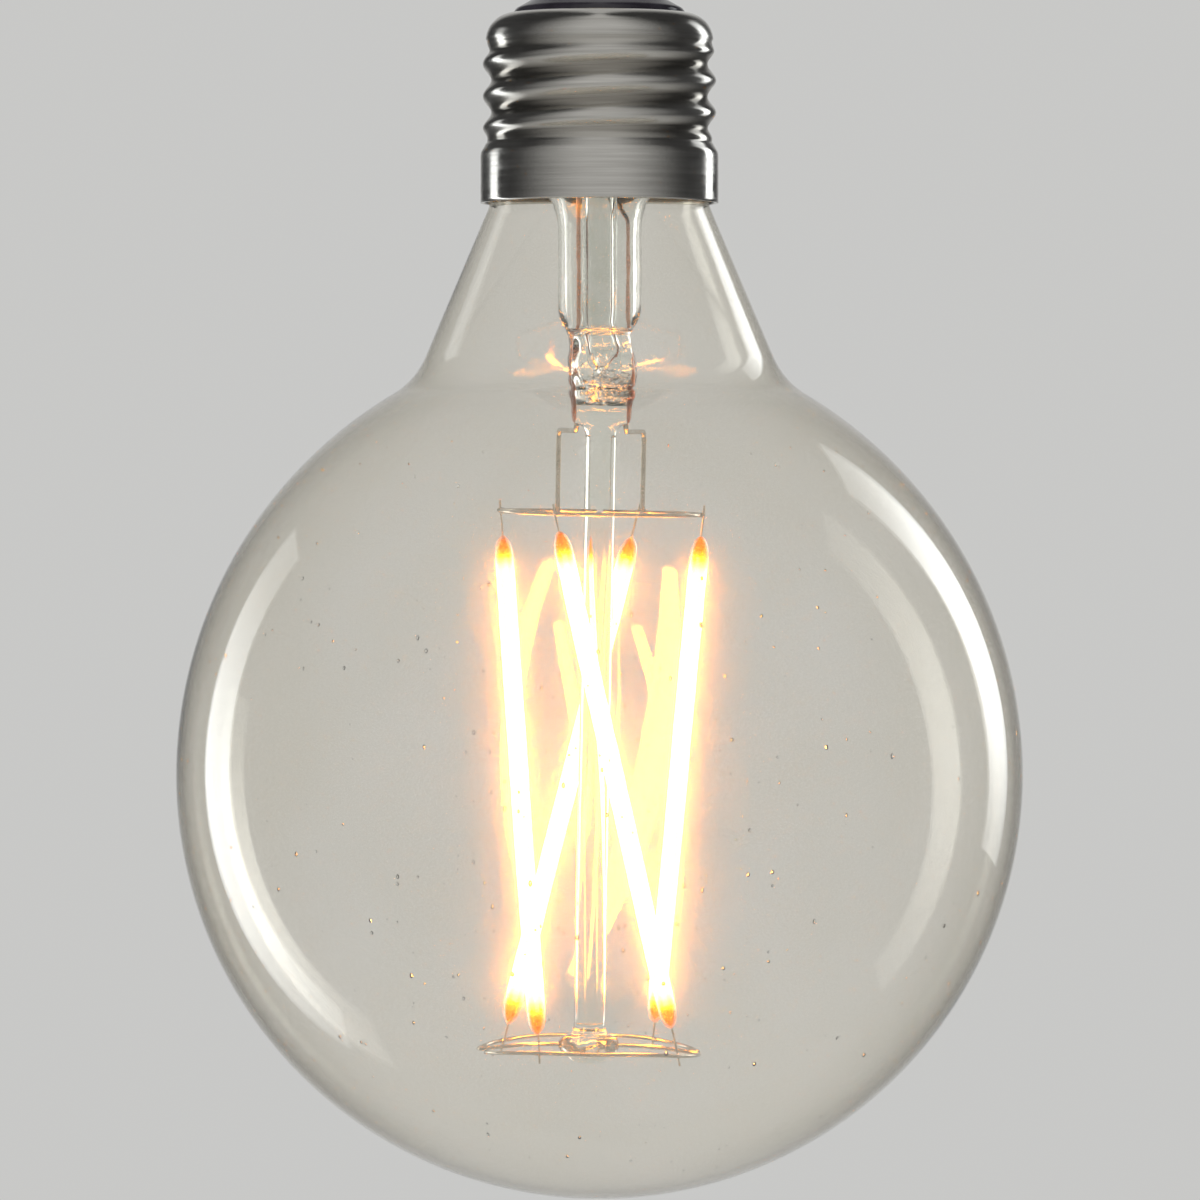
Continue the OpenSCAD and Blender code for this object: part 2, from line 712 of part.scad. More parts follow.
module shoulder_section() {
    centre = [joint_r - cap_shoulder_r, thread_top];
    translate([joint_r - joint_wall, thread_top - joint_lap]) square([joint_wall, joint_lap]);
    translate(centre) intersection() {
        difference() {
            circle(r = cap_shoulder_r);
            circle(r = cap_shoulder_r - shoulder_wall);
        }
        square(cap_shoulder_r);
    }
}

module cap_shell() {
    color(nickel) union() {
        rotate_extrude() collar_section();
        rolled_thread();
        rotate_extrude() shoulder_section();
    }
}

// Black glass cast into the shell's shoulder and drawn up to the contact
module cap_insulator() {
    centre = [joint_r - cap_shoulder_r, thread_top];
    color(black_glass) rotate_extrude() difference() {
        union() {
            intersection() {
                union() {
                    translate(centre) circle(r = cap_shoulder_r - shoulder_wall);
                    square([centre.x, shell_top - shoulder_wall]);
                }
                translate([0, insulator_floor]) square([joint_r, shell_top - insulator_floor]);
            }
            polygon([
                [0, shell_top - shoulder_wall - eps], [centre.x, shell_top - shoulder_wall - eps],
                [centre.x, shell_top + insulator_slope], [contact_d / 2, insulator_top],
                [0, insulator_top]]);
        }
        translate([0, insulator_floor - eps])
            square([insulator_hole_d / 2, insulator_top - insulator_floor + 2 * eps]);
    }
}

module centre_contact() {
    color(brass) translate([0, 0, insulator_top]) difference() {
        cylinder(h = contact_t, d = contact_d);
        translate([0, 0, -eps]) cylinder(h = contact_t + 2 * eps, d = contact_hole_d);
    }
}

// Drop of solder that closes the contact's hole over the end of the live wire
module contact_solder() {
    drop_r = (pow(solder_d / 2, 2) + pow(solder_h, 2)) / (2 * solder_h);
    color(solder_grey) translate([0, 0, contact_top]) difference() {
        rotate_extrude() intersection() {
            translate([0, solder_h - drop_r]) circle(r = drop_r);
            square([solder_d, solder_h]);
        }
        translate([0, 0, -eps]) cylinder(h = solder_h / 2 + eps, d = resistor_wire_d);
    }
}

module capping_cement() {
    color(cement_white) rotate_extrude() translate([neck_r, rim_z + cement_gap])
        square([cement_t, neck_in_cap - 2 * cement_gap]);
}

module driver_board() {
    color(board_green) translate([0, 0, board_z]) difference() {
        cylinder(h = board_t, d = board_d);
        for (hole = [[lead_hole_left, outer_lead_d], [lead_hole_right, outer_lead_d],
                     [neutral_hole, neutral_wire_d], [[0, 0, 0], resistor_wire_d],
                     [[-capacitor_x, pin_gap / 2, 0], pin_d], [[-capacitor_x, -pin_gap / 2, 0], pin_d]])
            translate([hole[0].x, hole[0].y, -eps])
                cylinder(h = board_t + 2 * eps, d = hole[1] + 2 * wire_play);
    }
}

// Body of a surface package, standing on its legs' thickness
module package_body(side) {
    translate([package_x - package.x / 2, side * package_y - package.y / 2, board_top + leg.z])
        cube(package);
}

module rectifier_body() {
    color(package_black) package_body(1);
}

module driver_chip_body() {
    color(package_black) package_body(-1);
}

module package_legs() {
    color(solder_grey)
        for (side = [-1, 1], edge = [-1, 1], row = side < 0 ? leg_rows : [leg_rows[0], leg_rows[3]])
            translate([package_x + leg_step * row, side * package_y + edge * package.y / 2, board_top])
                translate([-leg.y / 2, edge < 0 ? -leg.x : 0, 0]) cube([leg.y, leg.x, 2 * leg.z]);
}

module surface_resistors() {
    color(package_black)
        for (side = [-1, 1])
            translate([chip_resistor_at.x - chip_resistor.x / 2,
                       side * chip_resistor_at.y - chip_resistor.y / 2, board_top])
                cube(chip_resistor);
}

module smoothing_capacitor() {
    groove = 0.25;
    r = capacitor_d / 2;
    color(nickel) translate([-capacitor_x, 0, board_top + bung_h]) rotate_extrude()
        polygon([
            [0, 0], [r, 0], [r, 2 * groove], [r - groove, 3 * groove], [r, 4 * groove],
            [r, capacitor_h - groove], [r - groove, capacitor_h], [0, capacitor_h]]);
}

module capacitor_bung() {
    color(package_black) translate([-capacitor_x, 0, board_top]) difference() {
        cylinder(h = bung_h, d = capacitor_d - 2 * bung_h);
        for (side = [-1, 1])
            translate([0, side * pin_gap / 2, -eps]) cylinder(h = bung_h + 2 * eps, d = pin_d);
    }
}

module capacitor_pins() {
    color(solder_grey)
        for (side = [-1, 1])
            translate([-capacitor_x, side * pin_gap / 2, board_z - wire_end_up])
                cylinder(h = board_t + bung_h + wire_end_up, d = pin_d);
}

module fusible_resistor() {
    color(ceramic) translate([0, 0, resistor_z]) cylinder(h = resistor_l, d = resistor_d);
}

// One wire down through the board, the other up through the insulator into the contact's solder
module resistor_wires() {
    color(copper) {
        translate([0, 0, board_z - wire_end_up])
            cylinder(h = resistor_z - board_z + wire_end_up, d = resistor_wire_d);
        translate([0, 0, resistor_top])
            cylinder(h = contact_top + solder_h / 2 - resistor_top, d = resistor_wire_d);
    }
}

module resistor_sleeve() {
    color(ceramic) translate([0, 0, resistor_z - sleeve_past]) difference() {
        cylinder(h = resistor_l + 2 * sleeve_past, d = resistor_d + 2 * sleeve_t);
        translate([0, 0, -eps]) cylinder(h = resistor_l + 2 * sleeve_past + 2 * eps, d = resistor_d);
    }
}

// From the board down to the neck's top, and out over it to the inside of the cap's collar
module neutral_wire() {
    foot = turned(neutral_foot_r, neutral_angle, 0);
    path = rounded(
        [[neutral_hole.x, neutral_hole.y, board_top + wire_end_up],
         [neutral_hole.x, neutral_hole.y, neutral_knee_z + neutral_fall],
         [foot.x, foot.y, neutral_knee_z],
         [foot.x, foot.y, neutral_foot_z]],
        neutral_bend_r);
    color(copper) tube(path, neutral_wire_d);
}

// Cones of solder round each wire: above the board for the three bent wires, below it for the others
module board_solder() {
    above = [[lead_hole_left, outer_lead_d], [lead_hole_right, outer_lead_d], [neutral_hole, neutral_wire_d]];
    below = [[[0, 0, 0], resistor_wire_d], [[-capacitor_x, pin_gap / 2, 0], pin_d],
             [[-capacitor_x, -pin_gap / 2, 0], pin_d]];
    color(solder_grey) {
        for (joint = above)
            translate([joint[0].x, joint[0].y, board_top]) solder_cone(joint[1]);
        for (joint = below)
            translate([joint[0].x, joint[0].y, board_z]) mirror([0, 0, 1]) solder_cone(joint[1]);
    }
}

module solder_cone(wire_d) {
    difference() {
        cylinder(h = solder_cone_h, r1 = solder_cone_r, r2 = wire_d);
        translate([0, 0, -eps]) cylinder(h = solder_cone_h + 2 * eps, d = wire_d);
    }
}

glass_globe();
stem_flare();
exhaust_tube();
support_rod();
support_bead();
inner_lead(-1, lead_angles[0]);  // inner_lead_left
inner_lead(1, lead_angles[1]);  // inner_lead_right
seal_wires();
outer_lead(-1, lead_hole_left);  // outer_lead_left
outer_lead(1, lead_hole_right);  // outer_lead_right
upper_support_left();
upper_support_right();
upper_support_front();
lower_support_front();
lower_support_back();
filament_coat(1);  // filament_1_coat
filament_coat(2);  // filament_2_coat
filament_coat(3);  // filament_3_coat
filament_coat(4);  // filament_4_coat
filament_strip(1);  // filament_1_strip
filament_strip(2);  // filament_2_strip
filament_strip(3);  // filament_3_strip
filament_strip(4);  // filament_4_strip
filament_chips(1);  // filament_1_chips
filament_chips(2);  // filament_2_chips
filament_chips(3);  // filament_3_chips
filament_chips(4);  // filament_4_chips
filament_terminals(1);  // filament_1_terminals
filament_terminals(2);  // filament_2_terminals
filament_terminals(3);  // filament_3_terminals
filament_terminals(4);  // filament_4_terminals
cap_shell();
cap_insulator();
centre_contact();
contact_solder();
capping_cement();
driver_board();
rectifier_body();
driver_chip_body();
package_legs();
surface_resistors();
smoothing_capacitor();
capacitor_bung();
capacitor_pins();
fusible_resistor();
resistor_wires();
resistor_sleeve();
neutral_wire();
board_solder();
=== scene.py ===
import math
import random

import bpy
from mathutils import Matrix, Vector, noise

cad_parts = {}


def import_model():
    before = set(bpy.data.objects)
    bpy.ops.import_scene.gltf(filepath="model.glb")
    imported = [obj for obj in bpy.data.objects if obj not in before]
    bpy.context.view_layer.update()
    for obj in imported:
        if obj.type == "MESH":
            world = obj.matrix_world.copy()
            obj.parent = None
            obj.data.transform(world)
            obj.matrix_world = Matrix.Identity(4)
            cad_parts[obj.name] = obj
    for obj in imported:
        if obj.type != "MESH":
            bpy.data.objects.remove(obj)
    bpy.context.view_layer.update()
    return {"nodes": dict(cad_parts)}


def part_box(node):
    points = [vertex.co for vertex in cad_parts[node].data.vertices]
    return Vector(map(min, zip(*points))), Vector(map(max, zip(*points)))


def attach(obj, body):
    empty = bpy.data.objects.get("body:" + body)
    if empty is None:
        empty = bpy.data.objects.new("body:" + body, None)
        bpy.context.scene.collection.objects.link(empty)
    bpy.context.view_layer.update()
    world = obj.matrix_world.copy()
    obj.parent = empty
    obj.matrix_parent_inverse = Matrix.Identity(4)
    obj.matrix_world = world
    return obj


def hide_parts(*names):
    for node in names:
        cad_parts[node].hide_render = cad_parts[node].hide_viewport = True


# The looks of a lit LED filament globe lamp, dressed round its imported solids

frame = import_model()

# Without a seed of its own, noise_vector follows the clock, and no two runs would bend the wires alike
noise.seed_set(7)

# Lengths are written in millimetres and turned into metres when a mesh is made
MM = 0.001

# Globe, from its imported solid, and the curves of its neck
globe_low, globe_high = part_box("glass_globe")
GLOBE_R = (globe_high.x - globe_low.x) / 2 / MM
GLOBE_Z = globe_low.z / MM + GLOBE_R
NECK_TOP = globe_high.z / MM
GLASS_WALL = 0.7
SHOULDER_BULGE = 2.2
NECK_R = 12.3
NECK_ANGLE = math.radians(23)
NECK_BLEND_R = 9
NECK_KNEE_R = 4
COLLAR_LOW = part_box("cap_shell")[0].z / MM
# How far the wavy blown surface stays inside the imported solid
WAVE_ROOM = 0.05
SEED_BUBBLES = 480

# Mount: it leans about the floor of the stem's tube
STEM_FLOOR = -17.5
PRESS_SHIFT = 0.4
LEAN_BACK = math.radians(1.85)
LEAN_SIDE = math.radians(1.15)
STEM_R = 4.7
STEM_WALL = 0.9
FLARE_R = 6.5
SEAL_Z = NECK_TOP - STEM_WALL
EXHAUST_R = 2
EXHAUST_BORE_R = 1.3
EXHAUST_TOP = 6
PRESS_Z = -10.2
ROD_R = 1.75
UPPER_Z = -20.1
UPPER_RING_R = 11.7
LOWER_RING_R = 12.5
LOWER_DROOP = 0.75
BEAD_R = 3.4
BEAD_H = 2.4
BEAD_DROP_H = 0.9
BEAD_GAP = 1.2

# Wires
LEAD_D = 0.6
LEAD_GAP = 5.6
LEAD_DROP = 0.8
LEAD_PAST = 0.4
LEAD_BEND_R = 0.7
SUPPORT_D = 0.45
SUPPORT_BEND_R = 1.2
LEFT_ANGLES = (97, 166)
RIGHT_ANGLES = (12, 84)
FRONT_ANGLES = (200, 356)
FRONT_ARM_ANGLE = 270
LEAD_ANGLES = (115.5, 64)
FRONT_SWEEP = 151
BACK_SWEEP = 166

# Filaments
FILAMENT_L = 57.2
FILAMENT_R = 1.05
TAPER_L = 2.3
NIB_R = 0.26
TAPER_POWER = 0.62
BARE_L = 4.7
UPPER_BARE_L = (2.85, 1.9, 2.35, 2.85)
TWIST_ANGLE = 80
UPPER_WELD_ANGLES = (158, 246, 344.5, 428.5)
LOWER_WELD_ANGLES = (243, 325, 413, 503)
TERMINAL_D = 0.25
TERMINAL_PAST = 1.1
STRIP_END = 2.6

# Screw cap
COLLAR_R = 13.35
COLLAR_H = 6
CAP_WALL = 0.35
THREAD_Z = 3.8
THREAD_L = 11.5
THREAD_PITCH = 3.629
THREAD_SWING = 0.475
THREAD_MID_R = 13.1 - THREAD_SWING
JOINT_LIP = 0.15
CAP_SHOULDER_R = 3.1
CONTACT_R = 4.8
CONTACT_T = 0.5
SOLDER_R = 2.3
SOLDER_H = 0.9

# Radiance of the lit coat where it is brightest
GLOW = 36.0

# The sockets of a Mix node that hold its two colours and its result
MIX_A, MIX_B, MIX_RESULT = 6, 7, 2


def direction(degrees):
    return Vector((math.cos(math.radians(degrees)), math.sin(math.radians(degrees)), 0))


def smooth(low, high, x):
    t = min(max((x - low) / (high - low), 0), 1)
    return t * t * (3 - 2 * t)


def mix(a, b, t):
    return a + (b - a) * t


# Where the mount's own points lie in the lamp
LEAN = Matrix.Rotation(LEAN_SIDE, 3, "Y") @ Matrix.Rotation(LEAN_BACK, 3, "X")


def leaned(p):
    return LEAN @ Vector(p) + Vector((PRESS_SHIFT, 0, STEM_FLOOR))


# Mesh making

# Rings past a tube's end that round it off: how far on, and how wide, as shares of the tube's radius
ROUND_END = ((0.45, 0.45), (0.3, 0.85))


def turns(sides):
    """Even angles, once round."""
    return [2 * math.pi * k / sides for k in range(sides)]


def placed(name, data):
    """A new object in the scene."""
    item = bpy.data.objects.new(name, data)
    bpy.context.scene.collection.objects.link(item)
    return item


def mark(mesh, name, values):
    """Gives a mesh a number at each of its points, for its material."""
    mesh.attributes.new(name, "FLOAT", "POINT").data.foreach_set("value", values)


def lengths_along(path):
    """The length of the way up to each point of a path."""
    lengths = [0]
    for a, b in zip(path, path[1:]):
        lengths.append(lengths[-1] + (b - a).length)
    return lengths


class Shell:
    """Points, in millimetres, and faces of one piece, gathered from closed surfaces."""

    def __init__(self):
        self.points = []
        self.faces = []

    def rings(self, rings, closed=False, inward=False):
        """Skins rings of points. A lone point is a pole, and closed joins the last ring to the first."""
        starts = []
        for ring in rings:
            starts.append(len(self.points))
            self.points += [Vector(p) for p in ring]
        pairs = list(zip(range(len(rings) - 1), range(1, len(rings))))
        if closed:
            pairs.append((len(rings) - 1, 0))
        for a, b in pairs:
            self._band(starts[a], len(rings[a]), starts[b], len(rings[b]), inward)
        if not closed:
            for at, first in ((0, True), (len(rings) - 1, False)):
                n = len(rings[at])
                if n > 1:
                    cap = [starts[at] + k for k in range(n)]
                    self.faces.append(cap if first == inward else cap[::-1])
        return self

    def _band(self, a, count_a, b, count_b, inward):
        n = max(count_a, count_b)
        for k in range(n):
            quad = []
            corners = ((a, count_a, k), (a, count_a, k + 1), (b, count_b, k + 1), (b, count_b, k))
            for start, count, step in corners:
                index = start + (step % count if count > 1 else 0)
                if index not in quad:
                    quad.append(index)
            self.faces.append(quad[::-1] if inward else quad)

    def tube(self, path, radius, sides, inward=False):
        """A round tube along a path. radius is a number or a function of the share of the path."""
        measure = radius if callable(radius) else (lambda t: radius)
        lengths = lengths_along(path)
        rings = []
        spoke = None
        for i, p in enumerate(path):
            way = (path[min(i + 1, len(path) - 1)] - path[max(i - 1, 0)]).normalized()
            if spoke is None:
                spoke = way.cross(Vector((0, 0, 1) if abs(way.z) < 0.9 else (1, 0, 0)))
            spoke = (spoke - spoke.dot(way) * way).normalized()
            side = way.cross(spoke)
            r = measure(lengths[i] / lengths[-1])
            for onward, ring_r in self._tip_steps(i, len(path), r):
                centre = p + way * onward
                rings.append([
                    centre + ring_r * (spoke * math.cos(a) + side * math.sin(a)) for a in turns(sides)])
        return self.rings(rings, inward=inward)

    @staticmethod
    def _tip_steps(i, count, r):
        """How far on each ring at path point i lies, and its radius: an end has more rings than one."""
        steps = [(0.0, r)]
        if i == 0:
            steps = [(-r * onward, r * share) for onward, share in ROUND_END] + steps
        if i == count - 1:
            steps += [(r * onward, r * share) for onward, share in reversed(ROUND_END)]
        return steps

    def blob(self, centre, size, sides, steps, uneven=0.0, seed=0, inward=False):
        """An uneven ball, with its own half sizes along x, y and z."""
        rings = []
        for j in range(steps + 1):
            lift = math.pi * (j / steps - 0.5)
            count = 1 if j in (0, steps) else sides
            ring = []
            for a in turns(sides)[:count]:
                unit = Vector((math.cos(lift) * math.cos(a), math.cos(lift) * math.sin(a), math.sin(lift)))
                grow = 1 + uneven * noise.noise(unit * 1.7 + Vector((seed * 3.1, seed, 0)))
                ring.append(Vector(centre) + Vector([grow * u * s for u, s in zip(unit, size)]))
            rings.append(ring)
        return self.rings(rings, inward=inward)

    def made(self, name, material, nodes, slot):
        """A smooth mesh object that rides on the lamp's one body, in place of one node or several."""
        mesh = bpy.data.meshes.new(name)
        mesh.from_pydata([p * MM for p in self.points], [], self.faces)
        mesh.validate()
        mesh.shade_smooth()
        mesh.materials.append(material)
        piece = placed(name, mesh)
        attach(piece, "root")
        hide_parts(*([nodes] if isinstance(nodes, str) else nodes))
        return piece


def turned(profile, sides, wobble=None):
    """Rings of a profile of (radius, height) about the z axis. wobble shifts the radius at (r, angle, z)."""
    rings = []
    for r, z in profile:
        if r == 0:
            rings.append([(0, 0, z)])
            continue
        ring = []
        for a in turns(sides):
            rr = r + (wobble(r, a, z) if wobble else 0)
            ring.append((rr * math.cos(a), rr * math.sin(a), z))
        rings.append(ring)
    return rings


def arc(centre, radius, start, end, steps):
    """Points of an arc in the plane of a profile, from one angle to another in degrees."""
    return [
        (centre[0] + radius * math.cos(math.radians(mix(start, end, k / steps))),
         centre[1] + radius * math.sin(math.radians(mix(start, end, k / steps))))
        for k in range(steps + 1)]


def rounded(points, radius, steps=8):
    """A path through points in space with each corner rounded."""
    points = [Vector(p) for p in points]
    path = [points[0]]
    for a, b, c in zip(points, points[1:], points[2:]):
        u, v = (a - b).normalized(), (c - b).normalized()
        half = u.angle(v) / 2
        centre = b + (u + v).normalized() * radius / math.sin(half)
        reach = radius / math.tan(half)
        p, q = (b + reach * u - centre).normalized(), (b + reach * v - centre).normalized()
        turn = p.angle(q)
        for k in range(steps + 1):
            t = k / steps
            spoke = (math.sin(turn * (1 - t)) * p + math.sin(turn * t) * q) / math.sin(turn)
            path.append(centre + radius * spoke)
    path.append(points[-1])
    return path


def refined(path, step):
    """The same path with points no further apart than step."""
    fine = [path[0]]
    for a, b in zip(path, path[1:]):
        count = max(1, math.ceil((b - a).length / step))
        fine += [a.lerp(b, (k + 1) / count) for k in range(count)]
    return fine


# Materials: each has its own small node tree

class Finish:
    """A Principled material with helpers that drive its sockets from noise."""

    def __init__(self, name, **values):
        self.material = bpy.data.materials.new(name)
        self.material.use_nodes = True
        self.nodes = self.material.node_tree.nodes
        self.links = self.material.node_tree.links
        self.shader = self.nodes["Principled BSDF"]
        self.place = self.nodes.new("ShaderNodeTexCoord").outputs["Object"]
        for socket, value in values.items():
            self.shader.inputs[socket.replace("_", " ")].default_value = value

    def noise(self, size_mm, detail, stretch=None):
        """Noise of features about size_mm across, stretched along the given axes."""
        source = self.place
        if stretch:
            mapping = self.nodes.new("ShaderNodeMapping")
            mapping.inputs["Scale"].default_value = stretch
            self.links.new(source, mapping.inputs["Vector"])
            source = mapping.outputs["Vector"]
        texture = self.nodes.new("ShaderNodeTexNoise")
        texture.inputs["Scale"].default_value = 1 / (size_mm * MM)
        texture.inputs["Detail"].default_value = detail
        self.links.new(source, texture.inputs["Vector"])
        return texture.outputs["Fac"]

    def ramp(self, source, *stops):
        """Colours at places along a source from 0 to 1."""
        node = self.nodes.new("ShaderNodeValToRGB")
        self.links.new(source, node.inputs["Fac"])
        elements = node.color_ramp.elements
        while len(elements) < len(stops):
            elements.new(0.5)
        for element, (at, colour) in zip(elements, stops):
            element.position = at
            element.color = (*colour, 1)
        return node.outputs["Color"]

    def span(self, source, low, high, source_low=0.3, source_high=0.7):
        """A number from low to high as the source goes between its limits."""
        node = self.nodes.new("ShaderNodeMapRange")
        self.links.new(source, node.inputs["Value"])
        limits = {"From Min": source_low, "From Max": source_high, "To Min": low, "To Max": high}
        for socket, value in limits.items():
            node.inputs[socket].default_value = value
        return node.outputs["Result"]

    def drive(self, socket, source):
        self.links.new(source, self.shader.inputs[socket])
        return self

    def colour(self, source, *stops):
        return self.drive("Base Color", self.ramp(source, *stops))

    def rough(self, source, low, high):
        return self.drive("Roughness", self.span(source, low, high))

    def bump(self, source, depth_mm, strength):
        node = self.nodes.new("ShaderNodeBump")
        node.inputs["Strength"].default_value = strength
        node.inputs["Distance"].default_value = depth_mm * MM
        self.links.new(source, node.inputs["Height"])
        return self.drive("Normal", node.outputs["Normal"])

    def absorbing(self, colour, density):
        """Tints the light that passes through the solid, by the length of its way."""
        volume = self.nodes.new("ShaderNodeVolumeAbsorption")
        volume.inputs["Color"].default_value = (*colour, 1)
        volume.inputs["Density"].default_value = density
        self.links.new(volume.outputs["Volume"], self.nodes["Material Output"].inputs["Volume"])
        return self

    def attribute(self, name):
        node = self.nodes.new("ShaderNodeAttribute")
        node.attribute_name = name
        return node.outputs["Fac"]


def blown_glass():
    """Clear glass with a faint warm tint. Its small rough spots spread the filaments' light into a halo."""
    f = Finish("globe_glass", Transmission_Weight=1.0, IOR=1.5)
    f.colour(f.noise(18, 2), (0.35, (0.98, 0.975, 0.96)), (0.65, (1, 1, 1)))
    spots = f.noise(0.06, 1)
    f.drive("Roughness", f.span(spots, 0.0, 0.28, source_low=0.63, source_high=0.7))
    f.bump(f.noise(14, 2, stretch=(1, 1, 0.45)), 0.04, 0.2)
    return f.absorbing((0.84, 0.7, 0.32), 120).material


def stem_glass():
    """Clear glass with the fine lines of drawn tube."""
    f = Finish("stem_glass", Transmission_Weight=1.0, IOR=1.5)
    f.colour(f.noise(3, 2), (0.3, (0.95, 0.96, 0.94)), (0.7, (1, 1, 1)))
    f.rough(f.noise(1.5, 3), 0.0, 0.02)
    f.bump(f.noise(0.8, 2, stretch=(1, 1, 0.15)), 0.03, 0.4)
    return f.absorbing((0.6, 0.75, 0.6), 25).material


def drawn_metal(name, dark, light, rough_low, rough_high, grain_mm, stretch, depth_mm):
    """Metal with a grain that is drawn out along one axis."""
    f = Finish(name, Metallic=1.0)
    f.colour(f.noise(grain_mm * 6, 3), (0.3, dark), (0.7, light))
    f.rough(f.noise(grain_mm * 3, 3), rough_low, rough_high)
    f.bump(f.noise(grain_mm, 2, stretch=stretch), depth_mm, 0.5)
    return f.material


def phosphor_coat():
    """Orange silicone that shines white hot along the strip and fades to its own colour at the ends."""
    f = Finish("phosphor_coat", Transmission_Weight=0.75, IOR=1.41, Emission_Strength=GLOW)
    f.colour(f.noise(0.5, 3), (0.3, (0.9, 0.22, 0.005)), (0.7, (0.96, 0.34, 0.015)))
    f.rough(f.noise(0.4, 3), 0.22, 0.36)
    shine = ((0.0, (0.35, 0.08, 0.0)), (0.3, (0.7, 0.25, 0.0)), (0.5, (1.6, 0.7, 0.004)),
             (0.75, (9, 3.8, 0.35)), (1.0, (GLOW, GLOW * 0.37, GLOW * 0.03)))
    f.drive("Emission Color", f.ramp(
        f.attribute("along"), *((at, [c / GLOW for c in colour]) for at, colour in shine)))
    f.bump(f.noise(0.6, 2), 0.04, 0.5)
    return f.material


def rolled_metal():
    """Nickel-plated sheet, duller and darker down in the thread as painted shade there, with fine marks of
    the rolls along it.
    """
    f = Finish("cap_metal", Metallic=1.0)
    marks = f.noise(0.9, 4, stretch=(0.06, 0.06, 2.2))
    shade = f.nodes.new("ShaderNodeMix")
    shade.data_type = "RGBA"
    shade.blend_type = "MULTIPLY"
    shade.inputs["Factor"].default_value = 1.0
    # Painted shade: the colour darkens the deeper a point lies in the thread's groove
    groove_shade = f.ramp(
        f.attribute("groove"), (0.0, (1, 1, 1)), (0.55, (0.86, 0.85, 0.83)), (1.0, (0.5, 0.48, 0.45)))
    plating = f.ramp(marks, (0.32, (0.5, 0.485, 0.455)), (0.68, (0.66, 0.645, 0.61)))
    f.links.new(groove_shade, shade.inputs[MIX_A])
    f.links.new(plating, shade.inputs[MIX_B])
    f.drive("Base Color", shade.outputs[MIX_RESULT])
    f.rough(f.noise(1.4, 4, stretch=(0.2, 0.2, 1.5)), 0.1, 0.24)
    f.bump(marks, 0.01, 0.5)
    return f.material


def glowing(name, colour, strength, base):
    """A lit matt solid, a little uneven in its own colour and in its light."""
    f = Finish(name, Emission_Strength=strength, Roughness=0.4)
    f.colour(f.noise(0.3, 2), (0.3, base), (0.7, [min(1, c * 1.15) for c in base]))
    f.drive("Emission Color", f.ramp(
        f.noise(0.8, 2), (0.3, [c * 0.85 for c in colour]), (0.7, colour)))
    return f.material


def plain(name, dark, light, rough_low, rough_high, grain_mm, depth_mm, metallic=0.0):
    """A surface with an even grain."""
    f = Finish(name, Metallic=metallic)
    f.colour(f.noise(grain_mm * 4, 3), (0.3, dark), (0.7, light))
    f.rough(f.noise(grain_mm * 2, 3), rough_low, rough_high)
    f.bump(f.noise(grain_mm, 4), depth_mm, 0.6)
    return f.material


ALONG_WIRE = (1, 1, 0.2)
NICKEL = drawn_metal("nickel_wire", (0.48, 0.43, 0.36), (0.66, 0.6, 0.52), 0.08, 0.2, 0.25, ALONG_WIRE, 0.006)
TERMINAL = drawn_metal(
    "terminal_wire", (0.55, 0.47, 0.38), (0.74, 0.67, 0.58), 0.25, 0.4, 0.2, ALONG_WIRE, 0.01)
SEAL = drawn_metal("seal_wire", (0.5, 0.16, 0.08), (0.7, 0.28, 0.15), 0.25, 0.4, 0.25, ALONG_WIRE, 0.01)
COPPER = drawn_metal("copper_wire", (0.62, 0.3, 0.18), (0.8, 0.45, 0.3), 0.22, 0.4, 0.25, (1, 1, 0.3), 0.01)
CAP_METAL = rolled_metal()
BRASS = drawn_metal("contact_brass", (0.58, 0.42, 0.2), (0.76, 0.58, 0.3), 0.2, 0.36, 0.4, (1, 0.2, 1), 0.01)
SOLDER = plain("solder", (0.52, 0.52, 0.53), (0.7, 0.7, 0.7), 0.22, 0.42, 0.5, 0.03, 1.0)
BLACK_GLASS = plain("insulator_glass", (0.012, 0.01, 0.014), (0.03, 0.026, 0.034), 0.08, 0.22, 1.2, 0.03)
CEMENT = plain("cement", (0.6, 0.55, 0.45), (0.8, 0.76, 0.67), 0.75, 0.95, 0.35, 0.08)
BOARD = plain("board", (0.05, 0.18, 0.09), (0.08, 0.26, 0.13), 0.35, 0.5, 0.6, 0.02)
PACKAGE = plain("package_plastic", (0.015, 0.015, 0.017), (0.04, 0.04, 0.045), 0.45, 0.65, 0.2, 0.02)
CAN = drawn_metal("capacitor_can", (0.62, 0.63, 0.64), (0.78, 0.79, 0.8), 0.25, 0.4, 0.4, (1, 1, 0.15), 0.01)
RUBBER = plain("capacitor_rubber", (0.02, 0.02, 0.02), (0.05, 0.05, 0.05), 0.7, 0.9, 0.2, 0.03)
RESISTOR = plain("resistor_ceramic", (0.62, 0.6, 0.52), (0.8, 0.78, 0.7), 0.5, 0.7, 0.3, 0.03)
SLEEVE = plain("sleeve_fibre", (0.7, 0.69, 0.62), (0.88, 0.87, 0.82), 0.7, 0.9, 0.25, 0.06)
STRIP = glowing("strip_ceramic", (1.0, 0.55, 0.2), 14.0, (0.8, 0.8, 0.76))
CHIPS = glowing("chip_crystal", (1.0, 0.6, 0.24), 26.0, (0.4, 0.5, 0.75))
BLOWN = blown_glass()
CLEAR = stem_glass()
COAT = phosphor_coat()


# Globe

